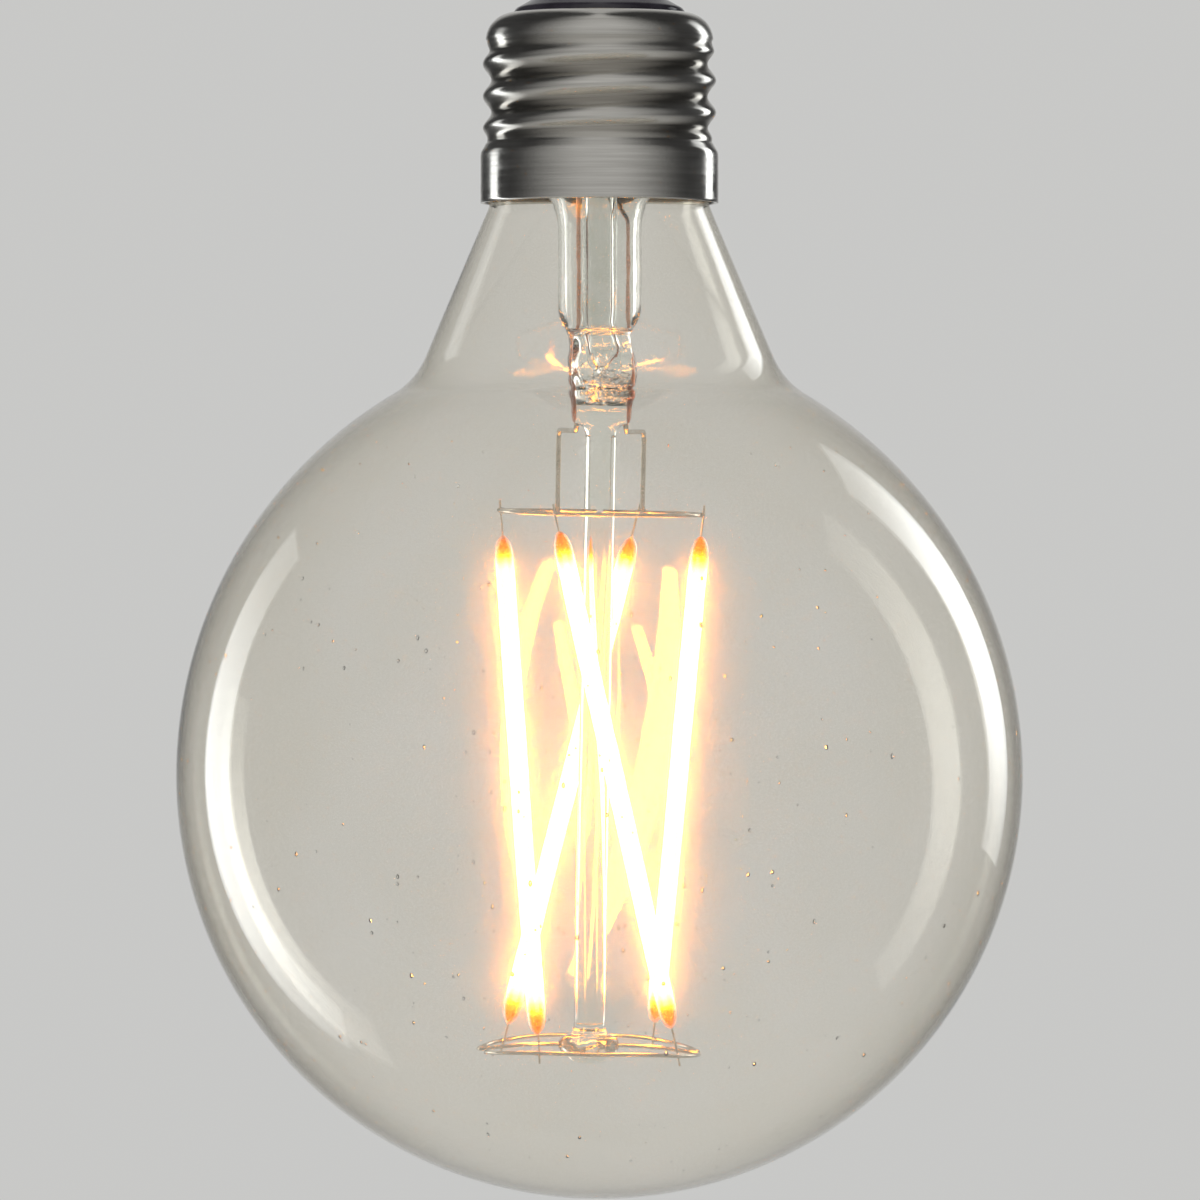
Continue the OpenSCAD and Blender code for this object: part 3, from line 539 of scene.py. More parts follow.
def globe_outline(inset, steps):
    """Radius and height from the lower pole up to the neck, drawn in by inset."""
    rim_up = COLLAR_LOW - GLOBE_Z
    shoulder_r = GLOBE_R + SHOULDER_BULGE
    out = Vector((math.cos(NECK_ANGLE), math.sin(NECK_ANGLE)))
    down = Vector((math.sin(NECK_ANGLE), -math.cos(NECK_ANGLE)))
    shoulder_c = Vector((-SHOULDER_BULGE, 0))
    start = Vector((NECK_R, rim_up)) + NECK_BLEND_R * out
    q = start - shoulder_c
    reach = shoulder_r + NECK_BLEND_R
    s = -q.dot(down) - math.sqrt(q.dot(down) ** 2 - q.length_squared + reach ** 2)
    blend_c = start + s * down
    meet = math.degrees(math.atan2(blend_c.y - shoulder_c.y, blend_c.x - shoulder_c.x))
    lower = arc((0, 0), GLOBE_R - inset, -90, 0, steps)
    upper = arc(shoulder_c, shoulder_r - inset, 0, meet, steps)
    blend = arc(blend_c, NECK_BLEND_R + inset, 180 + meet, 180 + math.degrees(NECK_ANGLE), steps // 3)
    knee_half = NECK_ANGLE / 2
    knee_in = NECK_KNEE_R + inset
    knee_c = (NECK_R + NECK_KNEE_R, rim_up + NECK_KNEE_R * math.tan(knee_half))
    knee = arc(knee_c, knee_in, 180 + math.degrees(NECK_ANGLE), 180, 8)
    outline = lower + upper[1:] + blend[1:] + knee
    return [(r, z + GLOBE_Z) for r, z in outline]


def glass_wave(amount, size, seed):
    """A slow unevenness of blown glass, in millimetres along the radius. It dies out towards the pole."""
    def wave(r, a, z):
        p = Vector((r * math.cos(a), r * math.sin(a), z)) / size + Vector((0, 0, seed))
        return amount * noise.noise(p) * smooth(0, 8, r) - WAVE_ROOM
    return wave


def glass_globe():
    steps, sides = 84, 180
    rim = 0.3
    outer = globe_outline(0, steps)
    inner = globe_outline(GLASS_WALL, steps)
    outer[0] = (0, outer[0][1])
    inner[0] = (0, inner[0][1])
    outer += [(NECK_R, NECK_TOP - rim), (NECK_R - rim / 2, NECK_TOP)]
    inner += [(NECK_R - GLASS_WALL, NECK_TOP - rim), (NECK_R - GLASS_WALL + rim / 2, NECK_TOP)]
    outside = turned(outer, sides, glass_wave(amount=0.015, size=19, seed=1))
    inside = turned(inner, sides, glass_wave(amount=0.02, size=16, seed=7))
    shell = Shell().rings(outside + inside[::-1])
    seeds(shell)
    shell.made("glass_globe_shell", BLOWN, "glass_globe", "globe_glass")


def seeds(shell):
    """Bubbles caught in the blown wall, drawn out a little. A third lie before and behind the mount."""
    dice = random.Random(11)
    wall_r = GLOBE_R - GLASS_WALL / 2 - WAVE_ROOM
    smallest, growth, room = 0.07, 0.15, 0.28
    heights, middle_heights = (-0.97, 0.8), (-0.65, 0.4)
    for k in range(SEED_BUBBLES):
        lift = math.asin(dice.uniform(*heights))
        a = dice.uniform(0, 2 * math.pi)
        if k % 3 == 0:
            lift = math.asin(dice.uniform(*middle_heights))
            a = math.copysign(math.pi / 2, k % 2 - 0.5) + dice.gauss(0, 0.3)
        out = Vector((math.cos(lift) * math.cos(a), math.cos(lift) * math.sin(a), math.sin(lift)))
        size = smallest + growth * dice.random() ** 2.5
        shift = room - size
        centre = out * (wall_r + dice.uniform(-shift, shift)) + Vector((0, 0, GLOBE_Z))
        shell.blob(centre, (size, size, size * dice.uniform(1, 1.8)), 8, 6, inward=True)


# Stem: one fused body of glass from the flare down to the bead

def lower_z():
    chord = (UPPER_RING_R * direction(0) - LOWER_RING_R * direction(TWIST_ANGLE)).length
    return UPPER_Z - math.sqrt((FILAMENT_L + BARE_L) ** 2 - chord ** 2)


LOWER_Z = lower_z()

# Stations of the stem's outline. Drop and rod's foot: radius, and height over the drop's low point or the
# bead's middle. Press: half width, half depth and height over its foot. Tube: radius and the mount's height.
DROP_STATIONS = ((1.0, 0.04), (1.7, 0.2), (2.1, 0.5), (2.35, 0.8))
ROD_FOOT_STATIONS = ((2.4, 1.2), (2.05, 1.38), (1.86, 1.7), (ROD_R, 2.3))
PRESS_STATIONS = (
    (1.8, 1.78, -1.0), (1.95, 1.8, -0.5), (2.35, 1.8, -0.15), (2.85, 1.78, 0.02), (3.2, 1.78, 0.25),
    (3.36, 1.8, 0.7), (3.4, 1.8, 1.3), (3.42, 1.86, 2.0), (3.5, 2.15, 2.6), (3.68, 2.8, 3.2),
    (3.82, 3.35, 4.0), (3.9, 3.72, 5.0), (3.9, 3.86, 6.0), (3.84, 3.86, 7.0), (3.68, 3.72, 8.0),
    (3.52, 3.54, 9.0))
TUBE_STATIONS = (
    (3.55, -0.4), (3.9, 0.5), (4.4, 1.4), (4.65, 2.4), (STEM_R, 3.4), (STEM_R, 7.0), (STEM_R, 10.6))

# The exhaust's bore: its way in from the blow hole in the stem's side, in the mount's frame, and its radii
BLOW_HOLE = ((0, 2.9, -4.3), (0, 2.0, -4.4), (0, 1.1, -4.3), (0, 0.4, -3.7), (0, 0.1, -2.8), (0, 0, -1.8))
BORE_RADII = (0.5, 0.72, 0.8, 0.95, 1.15, EXHAUST_BORE_R, EXHAUST_BORE_R, EXHAUST_BORE_R, 1.1, 0.35)

# The press is squarer than an ellipse. The waves of the melted glass are shares of its radius.
PRESS_POWER = 0.62
TUBE_WAVE = 0.012
LUMP_WAVE, LUMP_FINE_WAVE = 0.1, 0.05
BEAD_WAVE, BEAD_FINE_WAVE = 0.05, 0.03
LUMP_MOST = 1.03
SMALL_BUBBLES = 26
LARGE_BUBBLES = 9


def stem_outline():
    """Half width, half depth and height in the mount's frame, from the drop under the bead to the flare."""
    rim = BEAD_H / 2
    low = LOWER_Z - rim - BEAD_DROP_H
    stations = [(0, 0, low)] + [(r, r, low + up) for r, up in DROP_STATIONS]
    rim_angle, rim_steps = 62, 8
    for k in range(rim_steps + 1):
        lift = math.radians(mix(-rim_angle, rim_angle, k / rim_steps))
        r = BEAD_R - rim + rim * math.cos(lift)
        stations.append((r, r, LOWER_Z + rim * math.sin(lift)))
    stations += [(r, r, LOWER_Z + up) for r, up in ROD_FOOT_STATIONS]
    rod_low, rod_top, rod_steps = LOWER_Z + 3, PRESS_Z - 1.6, 40
    stations += [(ROD_R, ROD_R, mix(rod_low, rod_top, k / rod_steps)) for k in range(rod_steps + 1)]
    stations += [(half_x, half_y, PRESS_Z + up) for half_x, half_y, up in PRESS_STATIONS]
    return stations + [(r, r, z) for r, z in TUBE_STATIONS]


def stem_ring(half_x, half_y, z, sides):
    """One ring of the stem. Its height says how far it is lump, bead, or the upright tube in the neck."""
    flat = smooth(0.15, 1.2, half_x - half_y)
    lump = smooth(PRESS_Z + 2, PRESS_Z + 4, z) * (1 - smooth(-1, 1.5, z))
    bead = smooth(LOWER_Z - 3, LOWER_Z - 1, z) * (1 - smooth(LOWER_Z + 0.6, LOWER_Z + 2, z))
    upright = smooth(-3, 1, z)
    power = mix(1, PRESS_POWER, flat)
    ring = []
    for a in turns(sides):
        c, s = math.cos(a), math.sin(a)
        x = half_x * math.copysign(abs(c) ** power, c)
        y = half_y * math.copysign(abs(s) ** power, s)
        wave = noise.noise(Vector((c * 1.6, s * 1.6, z * 0.55)))
        fine = noise.noise(Vector((c * 3, s * 3, z * 1.3 + 40)))
        swell = lump * (LUMP_WAVE * wave + LUMP_FINE_WAVE * fine)
        swell += bead * (BEAD_WAVE * wave + BEAD_FINE_WAVE * fine)
        grow = 1 + swell + TUBE_WAVE * wave
        if lump:
            grow = min(grow, LUMP_MOST)
        p = Vector((x * grow, y * grow, z))
        straight = p + Vector((0, 0, STEM_FLOOR))
        ring.append(leaned(p).lerp(straight, upright))
    return ring


def flare_and_exhaust():
    """The profile from the flare over its sealed brim, down inside the tube and up the exhaust to its tip."""
    flare_c = (STEM_R + FLARE_R, SEAL_Z - FLARE_R)
    brim = NECK_R - GLASS_WALL - 0.15
    bore = STEM_R - STEM_WALL
    tip = EXHAUST_TOP
    profile = arc(flare_c, FLARE_R, 180, 92, 16)
    profile += [(brim - 0.1, SEAL_Z + 0.02), (brim, SEAL_Z + 0.25)]
    profile += [(brim, NECK_TOP - 0.25), (brim - 0.15, NECK_TOP)]
    profile += arc(flare_c, FLARE_R + STEM_WALL, 92, 180, 16)
    profile += [(bore, STEM_FLOOR + 8), (bore, STEM_FLOOR + 2)]
    profile += arc((bore - 0.8, STEM_FLOOR + 0.9), 0.8, 0, -80, 6)
    profile += [(EXHAUST_R + 0.25, STEM_FLOOR + 0.15), (EXHAUST_R, STEM_FLOOR + 0.7)]
    profile += [(EXHAUST_R, STEM_FLOOR + 6), (EXHAUST_R, tip - 2.6), (EXHAUST_R - 0.25, tip - 2.0)]
    profile += [(1.25, tip - 1.1), (0.8, tip - 0.5), (0.6, tip - 0.2), (0.35, tip - 0.04), (0, tip)]
    return profile


def exhaust_bore(shell):
    """The hollow of the exhaust tube, from the blow hole up to the melted tip."""
    tip = EXHAUST_TOP
    path = [leaned(p) for p in BLOW_HOLE]
    path += [Vector((0, 0, z)) for z in (STEM_FLOOR + 2, tip - 4, tip - 2.6, tip - 1.6)]
    lengths = lengths_along(path)
    shares = [length / lengths[-1] for length in lengths]
    slack = 1e-9

    def bore_r(t):
        for i in range(len(shares) - 1):
            if t <= shares[i + 1] + slack:
                part = (t - shares[i]) / (shares[i + 1] - shares[i])
                return mix(BORE_RADII[i], BORE_RADII[i + 1], part)
        return BORE_RADII[-1]
    shell.tube(refined(path, 0.8), bore_r, 24, inward=True)


def bubbles(shell):
    """Small bubbles under the lump's surface, and large uneven ones low in its middle."""
    dice = random.Random(5)
    for k in range(SMALL_BUBBLES):
        a = dice.uniform(0, 2 * math.pi)
        r = dice.uniform(1.8, 3.0)
        size = dice.uniform(0.06, 0.22)
        at = leaned((r * math.cos(a), r * math.sin(a) * 0.85, dice.uniform(-6.6, -1.5)))
        shell.blob(at, (size, size, size * dice.uniform(1, 2.2)), 10, 8, inward=True)
    for k in range(LARGE_BUBBLES):
        a = dice.uniform(0, 2 * math.pi)
        r = dice.uniform(0.6, 2.3)
        size = dice.uniform(0.35, 0.75)
        at = leaned((r * math.cos(a), r * math.sin(a) * 0.6, mix(-7.0, -5.0, k / (LARGE_BUBBLES - 1))))
        half_sizes = (size * dice.uniform(0.8, 1.5), size * 0.6, size * dice.uniform(0.6, 1.3))
        shell.blob(at, half_sizes, 20, 14, uneven=0.9, seed=k, inward=True)


def glass_stem():
    sides = 72
    rings = []
    for half_x, half_y, z in stem_outline():
        rings.append(stem_ring(half_x, half_y, z, sides) if half_x else [leaned((0, 0, z))])
    shell = Shell().rings(rings + turned(flare_and_exhaust(), sides))
    exhaust_bore(shell)
    bubbles(shell)
    nodes = ("stem_flare", "exhaust_tube", "support_rod", "support_bead")
    shell.made("glass_stem", CLEAR, nodes, "stem_glass")


# Supports and leads

WIRE_STEP = 0.6
WIRE_WAVE = 0.03
# Half sizes of a weld's nugget, as shares of the wire's thickness
NUGGET = (0.75, 0.7, 0.62)


def drooped(p):
    out = max(abs(p.x) - BEAD_R, 0) / (LOWER_RING_R - BEAD_R)
    return Vector((p.x, p.y, LOWER_Z - LOWER_DROOP * out * out))


def lower_ring_at(angle):
    return drooped(LOWER_RING_R * direction(angle))


def upper_ring_at(angle):
    return UPPER_RING_R * direction(angle) + Vector((0, 0, UPPER_Z))


def welds(i):
    """Upper and lower weld of filament i in the mount's frame, then the supports' own points there."""
    upper, lower = upper_ring_at(UPPER_WELD_ANGLES[i]), lower_ring_at(LOWER_WELD_ANGLES[i])
    touch = (SUPPORT_D + TERMINAL_D) / 2
    upper_way = direction(UPPER_WELD_ANGLES[i] + 90)
    lower_way = lower_ring_at(LOWER_WELD_ANGLES[i] + 1) - lower_ring_at(LOWER_WELD_ANGLES[i] - 1)
    return (upper + touch * upper_way.cross(upper - lower).normalized(),
            lower - touch * lower_way.cross(upper - lower).normalized(), upper, lower)


def unsteady(path, amount, seed):
    """A path with the small waves that a hand-bent wire keeps, none at its ends."""
    last = len(path) - 1
    waved = []
    for k, p in enumerate(path):
        share = min(1, 4 * k / last, 4 * (last - k) / last)
        waved.append(p + amount * share * noise.noise_vector(p / 4 + Vector((seed, 0, 0))))
    return waved


def wire(name, paths, d, node, welds_at):
    """A wire of one or more runs in the mount's frame, with the small nuggets of its welds."""
    shell = Shell()
    for seed, path in enumerate(paths):
        path = unsteady(refined(path, WIRE_STEP), WIRE_WAVE, seed + len(name))
        shell.tube([leaned(p) for p in path], d / 2, 14)
    for k, at in enumerate(welds_at):
        shell.blob(leaned(at), [d * share for share in NUGGET], 12, 8, uneven=0.35, seed=k + len(name))
    shell.made(name, NICKEL, node, "nickel_wire")


def ring_run(ends, steps=60):
    return [upper_ring_at(mix(ends[0], ends[1], k / steps)) for k in range(steps + 1)]


def lead_run(side, angle):
    """Out of the press and down a little, across, and down to just past the upper ring."""
    foot = (UPPER_RING_R - (SUPPORT_D + LEAD_D) / 2) * direction(angle)
    start = Vector((side * LEAD_GAP / 2, 0, PRESS_Z))
    knee = Vector((foot.x, foot.y, PRESS_Z - LEAD_DROP))
    end = (foot.x, foot.y, UPPER_Z - LEAD_PAST)
    return rounded([start, start - Vector((0, 0, LEAD_DROP)), knee, end], LEAD_BEND_R)


def hook_run(turn, sweep):
    """Out of the bead, round a bend, and then clockwise along the ring."""
    bend = SUPPORT_BEND_R
    far = LOWER_RING_R - bend
    arm = math.sqrt(far * far - bend * bend)
    meet = math.degrees(math.asin(-bend / far))
    arm_steps, bend_steps, ring_steps = 12, 8, 60
    flat = [Vector((mix(BEAD_GAP / 2, arm, k / arm_steps), 0, 0)) for k in range(arm_steps)]
    corner = Vector((arm, -bend, 0))
    flat += [corner + bend * direction(mix(90, meet, k / bend_steps)) for k in range(bend_steps + 1)]
    flat += [LOWER_RING_R * direction(meet - sweep * k / ring_steps) for k in range(1, ring_steps + 1)]
    spin = Matrix.Rotation(math.radians(turn), 3, "Z")
    return [drooped(spin @ p) for p in flat]


def supports():
    touch = [welds(i) for i in range(4)]
    weld_tops = [t[0].lerp(t[2], 0.5) for t in touch]
    weld_feet = [t[1].lerp(t[3], 0.5) for t in touch]
    for hand, side, angle in (("left", -1, LEAD_ANGLES[0]), ("right", 1, LEAD_ANGLES[1])):
        weld = (UPPER_RING_R - SUPPORT_D / 2) * direction(angle) + Vector((0, 0, UPPER_Z))
        wire(f"inner_lead_wire_{hand}", [lead_run(side, angle)], LEAD_D, f"inner_lead_{hand}", [weld])
    wire("upper_wire_left", [ring_run(LEFT_ANGLES)], SUPPORT_D, "upper_support_left", [weld_tops[0]])
    wire("upper_wire_right", [ring_run(RIGHT_ANGLES)], SUPPORT_D, "upper_support_right", [weld_tops[3]])
    arm_end = upper_ring_at(FRONT_ARM_ANGLE)
    arm_start = Vector((0, 0, UPPER_Z)) + direction(FRONT_ARM_ANGLE)
    wire("upper_wire_front", [ring_run(FRONT_ANGLES, 110), [arm_start, arm_end]], SUPPORT_D,
         "upper_support_front", [weld_tops[1], weld_tops[2], arm_end])
    wire("lower_wire_front", [hook_run(0, FRONT_SWEEP)], SUPPORT_D, "lower_support_front", weld_feet[:2])
    wire("lower_wire_back", [hook_run(180, BACK_SWEEP)], SUPPORT_D, "lower_support_back", weld_feet[2:])


# Filaments: a dipped coat with teardrop ends over the lit strip, and its two thin end wires

COAT_WAVE = 0.045
COAT_MOST_R = FILAMENT_R * 1.02
LIT_FROM, LIT_FULL = 0.8, 4.4
END_WIRE_WAVE = 0.12


def coat_radius(depth):
    """Radius of the coat at a depth from its end: a small nib that widens into a teardrop."""
    nib = NIB_R * math.sqrt(min(1, depth / NIB_R))
    bullet = 1 - (1 - min(1, depth / TAPER_L)) ** 2
    return max(nib, FILAMENT_R * bullet ** TAPER_POWER)


def coat_stations():
    """Places along a coat, close together in its tapered ends."""
    depths = [0.02, 0.12, 0.3, 0.55, 0.85, 1.2, 1.6, 2.0] + [2.4 + 0.6 * k for k in range(6)]
    even_from, middle = 6.0, 88
    even = [mix(even_from, FILAMENT_L - even_from, k / middle) for k in range(1, middle)]
    return depths + even + [FILAMENT_L - d for d in reversed(depths)]


def filament_coat(i, start, end, way):
    """The coat of filament i, whose attribute says where it is lit, from 0 at its ends to 1."""
    out = Vector((start.x + end.x, start.y + end.y, 0))
    out = (out - out.dot(way) * way).normalized()
    side = way.cross(out)
    sides, rings, lit = 24, [], []
    for at in coat_stations():
        depth = min(at, FILAMENT_L - at)
        ring = []
        for a in turns(sides):
            wave = noise.noise(Vector((math.cos(a), math.sin(a), at * 0.45 + 31 * i)))
            r = min(coat_radius(depth) * (1 + COAT_WAVE * wave), COAT_MOST_R)
            spoke = out * math.cos(a) + side * math.sin(a)
            ring.append(leaned(start - at * way + r * spoke))
            lit.append(smooth(LIT_FROM, LIT_FULL, depth))
        rings.append(ring)
    shell = Shell().rings(rings)
    coat = shell.made(f"filament_{i + 1}_silicone", COAT, f"filament_{i + 1}_coat", "phosphor_coat")
    mark(coat.data, "along", lit)


def filament(i):
    top, foot, _, _ = welds(i)
    way = (top - foot).normalized()
    start = top - UPPER_BARE_L[i] * way
    end = start - FILAMENT_L * way
    filament_coat(i, start, end, way)
    shell = Shell()
    upper_end = start - STRIP_END * way
    lower_end = end + STRIP_END * way
    steps = 16
    for a, b in ((upper_end, top + TERMINAL_PAST * way), (lower_end, foot - TERMINAL_PAST * way)):
        run = [a.lerp(b, k / steps) for k in range(steps + 1)]
        shell.tube([leaned(p) for p in unsteady(run, END_WIRE_WAVE, i * 3 + 1)], TERMINAL_D / 2, 10)
    shell.made(f"filament_{i + 1}_end_wires", TERMINAL, f"filament_{i + 1}_terminals", "terminal_wire")


# Screw cap: collar, rolled thread and shoulder, with the wall all the same

THREAD_TOP = THREAD_Z + THREAD_L
JOINT_R = THREAD_MID_R + JOINT_LIP
COLLAR_END_Z = THREAD_Z - 0.4
COLLAR_WAVE = 0.025
INSULATOR_HOLE_R = 1.2
INSULATOR_SAG = 0.22
CONTACT_HOLE_R = 0.31
CONTACT_EDGE_R = 0.2
SOLDER_WAVE = 0.22


def thread_radius(z, a):
    """Radius of the thread, which swells and dies out over half a pitch at its ends."""
    half = THREAD_PITCH / 2
    fade = smooth(0, 1, (z - THREAD_Z) / half) * smooth(0, 1, (THREAD_TOP - z) / half)
    return THREAD_MID_R + THREAD_SWING * fade * math.cos(2 * math.pi * z / THREAD_PITCH - a)


def cap_wall(inset):
    """Radius and height from the rim to the hole at the top. In the thread the radius is None."""
    low, high = -COLLAR_H / 2, COLLAR_H / 2
    plain_r = COLLAR_R - inset
    collar_rows, thread_rows = 8, 96
    rows = [(plain_r, low + 0.12), (plain_r, low + 0.5)]
    rows += [(plain_r, mix(low + 0.8, high - 0.6, k / collar_rows)) for k in range(collar_rows + 1)]
    rows += [(plain_r - 0.05, high - 0.2), (plain_r - 0.2, high + 0.1)]
    rows += [(JOINT_R - inset + 0.12, THREAD_Z - 0.3), (JOINT_R - inset, THREAD_Z - 0.05)]
    rows += [(None, mix(THREAD_Z + 0.1, THREAD_TOP - 0.1, k / thread_rows)) for k in range(thread_rows + 1)]
    return rows + arc((JOINT_R - CAP_SHOULDER_R, THREAD_TOP), CAP_SHOULDER_R - inset, 4, 90, 18)


def cap_shell():
    sides = 160
    loop = [(row, 0) for row in cap_wall(0)] + [(row, CAP_WALL) for row in reversed(cap_wall(CAP_WALL))]
    rings = []
    for (r, z), inset in loop:
        ring = []
        for a in turns(sides):
            rr = thread_radius(z, a) - inset if r is None else r
            if z < COLLAR_END_Z:
                rr += COLLAR_WAVE * noise.noise(Vector((3 * math.cos(a), 3 * math.sin(a), z * 0.4)))
                rr = min(rr, COLLAR_R - inset)
            ring.append((rr * math.cos(a), rr * math.sin(a), z))
        rings.append(ring)
    shell = Shell().rings(rings, closed=True)
    piece = shell.made("cap_shell_rolled", CAP_METAL, "cap_shell", "cap_metal")
    crest_r = THREAD_MID_R + THREAD_SWING
    # How deep each point lies in the thread's groove, where the cap's colour is darkened as painted shade
    groove = [
        smooth(0, 2 * THREAD_SWING, crest_r - math.hypot(p.x, p.y)) if THREAD_Z < p.z < THREAD_TOP else 0.0
        for p in shell.points]
    mark(piece.data, "groove", groove)


def insulator(low_z, high_z, inner_r):
    """The black glass: a plug in the shell under a cone that sags a little."""
    shell_top = THREAD_TOP + CAP_SHOULDER_R
    base_r = JOINT_R - CAP_SHOULDER_R
    profile = [(INSULATOR_HOLE_R, low_z), (inner_r - 0.6, low_z)]
    profile += [(inner_r - 0.05, low_z + 0.3), (inner_r - 0.5, shell_top - 0.6)]
    profile += [(base_r + 0.1, shell_top - 0.32), (base_r - 0.1, shell_top + 0.2)]
    profile += [(base_r - 0.3, shell_top + 0.5)]
    start, end = (base_r - 0.45, shell_top + 0.62), (CONTACT_R + 0.15, high_z - 0.12)
    slope = 14
    for k in range(slope + 1):
        sag = INSULATOR_SAG * math.sin(math.pi * k / slope)
        profile.append((mix(start[0], end[0], k / slope), mix(start[1], end[1], k / slope) - sag))
    profile += [(CONTACT_R - 0.1, high_z), (INSULATOR_HOLE_R, high_z)]
    shell = Shell().rings(turned(profile, 128), closed=True)
    shell.made("insulator_glass", BLACK_GLASS, "cap_insulator", "insulator_glass")


def contact(plate):
    """The centre contact, from its lower face up, with a rolled edge."""
    edge = CONTACT_EDGE_R
    profile = [(CONTACT_HOLE_R, plate), (CONTACT_R - 0.25, plate)]
    profile += arc((CONTACT_R - edge, plate + edge), edge, -60, 60, 6)
    profile += [(CONTACT_R - 0.2, plate + 0.4), (CONTACT_R - 0.6, plate + CONTACT_T)]
    profile += [(CONTACT_HOLE_R, plate + CONTACT_T)]
    shell = Shell().rings(turned(profile, 96), closed=True)
    shell.made("contact_plate", BRASS, "centre_contact", "contact_brass")


def solder_drop(foot):
    """The uneven drop on the contact, from the contact's upper face up."""
    steps = 12
    profile = [(0, foot + 0.01)]
    for k in range(steps):
        lift = math.pi / 2 * k / steps
        profile.append((SOLDER_R * math.cos(lift), foot + SOLDER_H * math.sin(lift)))
    profile.append((0, foot + SOLDER_H))

    def uneven(r, a, z):
        wave = noise.noise(Vector((1.3 * math.cos(a), 1.3 * math.sin(a), z * 0.8)))
        return SOLDER_WAVE * wave * r / SOLDER_R
    shell = Shell().rings(turned(profile, 64, uneven))
    shell.made("contact_solder_drop", SOLDER, "contact_solder", "solder")


def cap_top():
    low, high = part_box("cap_insulator")
    plate = high.z / MM
    insulator(low.z / MM, plate, high.x / MM)
    contact(plate)
    solder_drop(plate + CONTACT_T)


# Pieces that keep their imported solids: only their finish and their shading are set

KEPT = {
    "seal_wires": SEAL, "outer_lead_left": COPPER, "outer_lead_right": COPPER, "neutral_wire": COPPER,
    "resistor_wires": COPPER, "capacitor_pins": COPPER, "capping_cement": CEMENT, "driver_board": BOARD,
    "rectifier_body": PACKAGE, "driver_chip_body": PACKAGE, "surface_resistors": PACKAGE,
    "package_legs": SOLDER, "board_solder": SOLDER, "smoothing_capacitor": CAN, "capacitor_bung": RUBBER,
    "fusible_resistor": RESISTOR, "resistor_sleeve": SLEEVE,
}
KEPT.update({f"filament_{i}_strip": STRIP for i in range(1, 5)})
KEPT.update({f"filament_{i}_chips": CHIPS for i in range(1, 5)})

# Points nearer than this, in metres, are joined, and edges sharper than this angle stay sharp
WELD_REACH = 1e-6
SHARP_EDGE = math.radians(35)


def dress(node, material):
    piece = frame["nodes"][node]
    piece.data.materials.clear()
    piece.data.materials.append(material)
    weld = piece.modifiers.new("weld", "WELD")
    weld.merge_threshold = WELD_REACH
    split = piece.modifiers.new("edges", "EDGE_SPLIT")
    split.split_angle = SHARP_EDGE
    for polygon in piece.data.polygons:
        polygon.use_smooth = True


# Stage, lamps, world and camera, in metres

# Glass surfaces on a straight way through the globe
STRAIGHT_WALLS = 4

# The floor's disc turns clear towards its edge
FLOOR_Z = -1.0
FLOOR_R = 5.0
FLOOR_CLEAR_R = 4.6

# The dark cloths: their distance, and the degrees up from the globe's middle and round from behind the
# lamp between which they fade in and out
FLAG_R = 0.8
FLAG_LOW, FLAG_LOW_FULL, FLAG_TOP = -60, -15, 86
FLAG_FROM, FLAG_FULL, FLAG_FADE, FLAG_TO = 6, 28, 85, 170

# The backdrop as it is seen, and the daylight that falls on the lamp
PALE = (0.58, 0.58, 0.57, 1)
DAYLIGHT = (1, 0.995, 0.985, 1)
DAYLIGHT_STRENGTH = 0.55

# The soft boxes: their colour, and their brightness in the middle and at the ends
BOX_COLOUR = (0.96, 0.99, 1)
BOX_MIDDLE, BOX_ENDS = 1.6, 0.35

# The camera: a long lens, level, a little above the globe's middle
SENSOR_MM = 36
LENS_MM = 255.4
CLIP_END = 20
EYE = (0.00006, -0.955, -0.0474)

# Caps the brightness of a single bounced sample, against stray bright dots
SAMPLE_CLAMP = 26


def math_node(nodes, links, operation, *values):
    """The result of one Math node, whose values are numbers or other nodes' outputs."""
    node = nodes.new("ShaderNodeMath")
    node.operation = operation
    for socket, value in zip(node.inputs, values):
        if isinstance(value, float):
            socket.default_value = value
        else:
            links.new(value, socket)
    return node.outputs["Value"]


def seen(nodes, links):
    """1 where a ray comes from the camera, a mirror or glass, and 0 for light that falls on the object."""
    path = nodes.new("ShaderNodeLightPath")
    total = path.outputs["Is Camera Ray"]
    for kind in ("Is Glossy Ray", "Is Transmission Ray"):
        total = math_node(nodes, links, "MAXIMUM", total, path.outputs[kind])
    return total


def floor():
    sides = 96
    middle = Vector((0, 0, FLOOR_Z))
    points = [middle] + [middle + FLOOR_R * direction(360 * k / sides) for k in range(sides)]
    faces = [(0, k + 1, (k + 1) % sides + 1) for k in range(sides)]
    mesh = bpy.data.meshes.new("floor")
    mesh.from_pydata(points, [], faces)
    disc = placed("floor", mesh)
    f = Finish("floor_paper", Roughness=0.9)
    f.colour(f.noise(400, 2), (0.3, (0.82, 0.82, 0.81)), (0.7, (0.86, 0.86, 0.85)))
    gradient = f.nodes.new("ShaderNodeVectorMath")
    gradient.operation = "LENGTH"
    f.links.new(f.place, gradient.inputs[0])
    f.drive("Alpha", f.span(gradient.outputs["Value"], 1.0, 0.0, FLOOR_CLEAR_R / 2, FLOOR_CLEAR_R))
    mesh.materials.append(f.material)


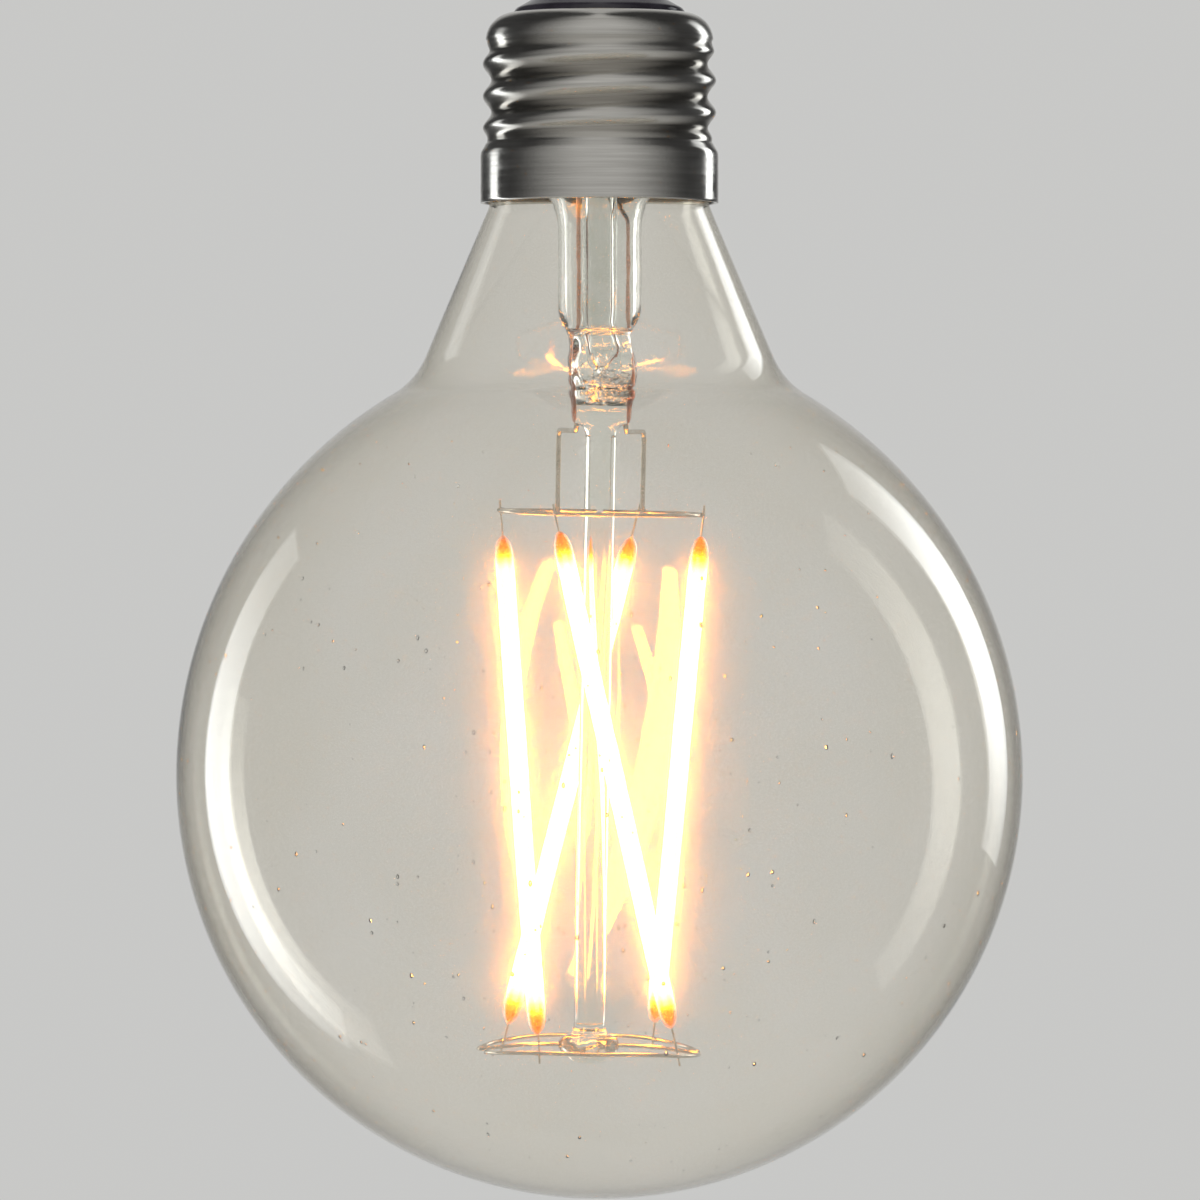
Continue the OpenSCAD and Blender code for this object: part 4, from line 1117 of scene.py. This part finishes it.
def flag(side):
    """A dark domed cloth on one side, soft at its edges, which shows only in reflections."""
    across, up = 48, 24
    points, cover = [], []
    for j in range(up + 1):
        lift = mix(FLAG_LOW, FLAG_TOP, j / up)
        for k in range(across + 1):
            turn = mix(FLAG_FROM, FLAG_TO, k / across)
            way = direction(90 - side * turn) * math.cos(math.radians(lift))
            way.z = math.sin(math.radians(lift))
            points.append(FLAG_R * way + Vector((0, 0, GLOBE_Z * MM)))
            fade_side = smooth(FLAG_FROM, FLAG_FULL, turn) * (1 - smooth(FLAG_FADE, FLAG_TO, turn))
            cover.append(fade_side * smooth(FLAG_LOW, FLAG_LOW_FULL, lift))
    row = across + 1
    faces = [(j * row + k, j * row + k + 1, (j + 1) * row + k + 1, (j + 1) * row + k)
             for j in range(up) for k in range(across)]
    mesh = bpy.data.meshes.new("flag")
    mesh.from_pydata(points, [], faces)
    mark(mesh, "cover", cover)
    card = placed("flag", mesh)
    f = Finish("flag_cloth", Roughness=0.95)
    f.colour(f.noise(30, 3), (0.3, (0.06, 0.06, 0.062)), (0.7, (0.09, 0.09, 0.092)))
    f.drive("Alpha", f.attribute("cover"))
    mesh.materials.append(f.material)
    card.visible_camera = False
    card.visible_diffuse = False
    card.visible_transmission = False
    card.visible_shadow = False


def world():
    pale = bpy.data.worlds.new("studio")
    bpy.context.scene.world = pale
    pale.use_nodes = True
    nodes, links = pale.node_tree.nodes, pale.node_tree.links
    light = nodes["Background"]
    light.inputs["Color"].default_value = DAYLIGHT
    light.inputs["Strength"].default_value = DAYLIGHT_STRENGTH
    shown = nodes.new("ShaderNodeBackground")
    shown.inputs["Color"].default_value = PALE
    shown.inputs["Strength"].default_value = 1.0
    blend = nodes.new("ShaderNodeMixShader")
    links.new(seen(nodes, links), blend.inputs["Fac"])
    links.new(light.outputs["Background"], blend.inputs[1])
    links.new(shown.outputs["Background"], blend.inputs[2])
    links.new(blend.outputs["Shader"], nodes["World Output"].inputs["Surface"])


def soft_box(name, azimuth, elevation, distance, width, height, power, roll=0.0, shown=True):
    """A soft box aimed at the globe. Azimuth runs from behind the lamp towards its right."""
    lamp = bpy.data.lights.new(name, "AREA")
    lamp.shape = "RECTANGLE"
    lamp.size = width
    lamp.size_y = height
    lamp.energy = power
    lamp.color = BOX_COLOUR
    holder = placed(name, lamp)
    a, e = math.radians(azimuth), math.radians(elevation)
    way = Vector((math.sin(a) * math.cos(e), math.cos(a) * math.cos(e), math.sin(e)))
    holder.location = Vector((0, 0, GLOBE_Z * MM)) + distance * way
    turn = way.to_track_quat("Z", "Y").to_matrix() @ Matrix.Rotation(math.radians(roll), 3, "Z")
    holder.rotation_euler = turn.to_euler()
    holder.visible_camera = False
    holder.visible_glossy = shown
    holder.visible_transmission = shown
    if shown:
        fade_to_ends(lamp)


def fade_to_ends(lamp):
    """The tube in a long soft box shows as a brighter middle. It can't be seen straight through the globe."""
    lamp.use_nodes = True
    nodes, links = lamp.node_tree.nodes, lamp.node_tree.links
    place = nodes.new("ShaderNodeSeparateXYZ")
    links.new(nodes.new("ShaderNodeNewGeometry").outputs["Parametric"], place.inputs["Vector"])
    centred = math_node(nodes, links, "SUBTRACT", place.outputs["Y"], 0.5)
    away = math_node(nodes, links, "ABSOLUTE", centred)
    bright = nodes.new("ShaderNodeMapRange")
    bright.interpolation_type = "SMOOTHSTEP"
    limits = {"From Min": 0.0, "From Max": 0.5, "To Min": BOX_MIDDLE, "To Max": BOX_ENDS}
    for socket, value in limits.items():
        bright.inputs[socket].default_value = value
    links.new(away, bright.inputs["Value"])
    path = nodes.new("ShaderNodeLightPath")
    hidden = math_node(nodes, links, "GREATER_THAN", path.outputs["Transmission Depth"], 0.5)
    depths = {"Transmission Depth": STRAIGHT_WALLS + 0.5, "Glossy Depth": 0.5, "Diffuse Depth": 0.5}
    for depth, limit in depths.items():
        within = math_node(nodes, links, "LESS_THAN", path.outputs[depth], limit)
        hidden = math_node(nodes, links, "MULTIPLY", hidden, within)
    shown = math_node(nodes, links, "SUBTRACT", 1.0, hidden)
    strength = math_node(nodes, links, "MULTIPLY", shown, bright.outputs["Result"])
    links.new(strength, nodes["Emission"].inputs["Strength"])


def camera():
    lens = bpy.data.cameras.new("camera")
    lens.sensor_width = SENSOR_MM
    lens.lens = LENS_MM
    lens.clip_end = CLIP_END
    eye = placed("camera", lens)
    eye.location = EYE
    eye.rotation_euler = (math.pi / 2, 0, 0)
    bpy.context.scene.camera = eye


glass_globe()
glass_stem()
supports()
for number in range(4):
    filament(number)
cap_shell()
cap_top()
for node_name, finish in KEPT.items():
    dress(node_name, finish)
floor()
flag(-1)
flag(1)
world()
soft_box("strip_left", -59, -6, distance=0.42, width=0.11, height=0.62, power=0.38, roll=6)
soft_box("strip_right", 47, 16, distance=0.42, width=0.11, height=0.4, power=0.28)
soft_box("overhead", 180, 75, distance=1.2, width=1.0, height=1.0, power=8.0, shown=False)
camera()
bpy.context.scene.view_settings.view_transform = "Standard"
bpy.context.scene.cycles.sample_clamp_indirect = SAMPLE_CLAMP
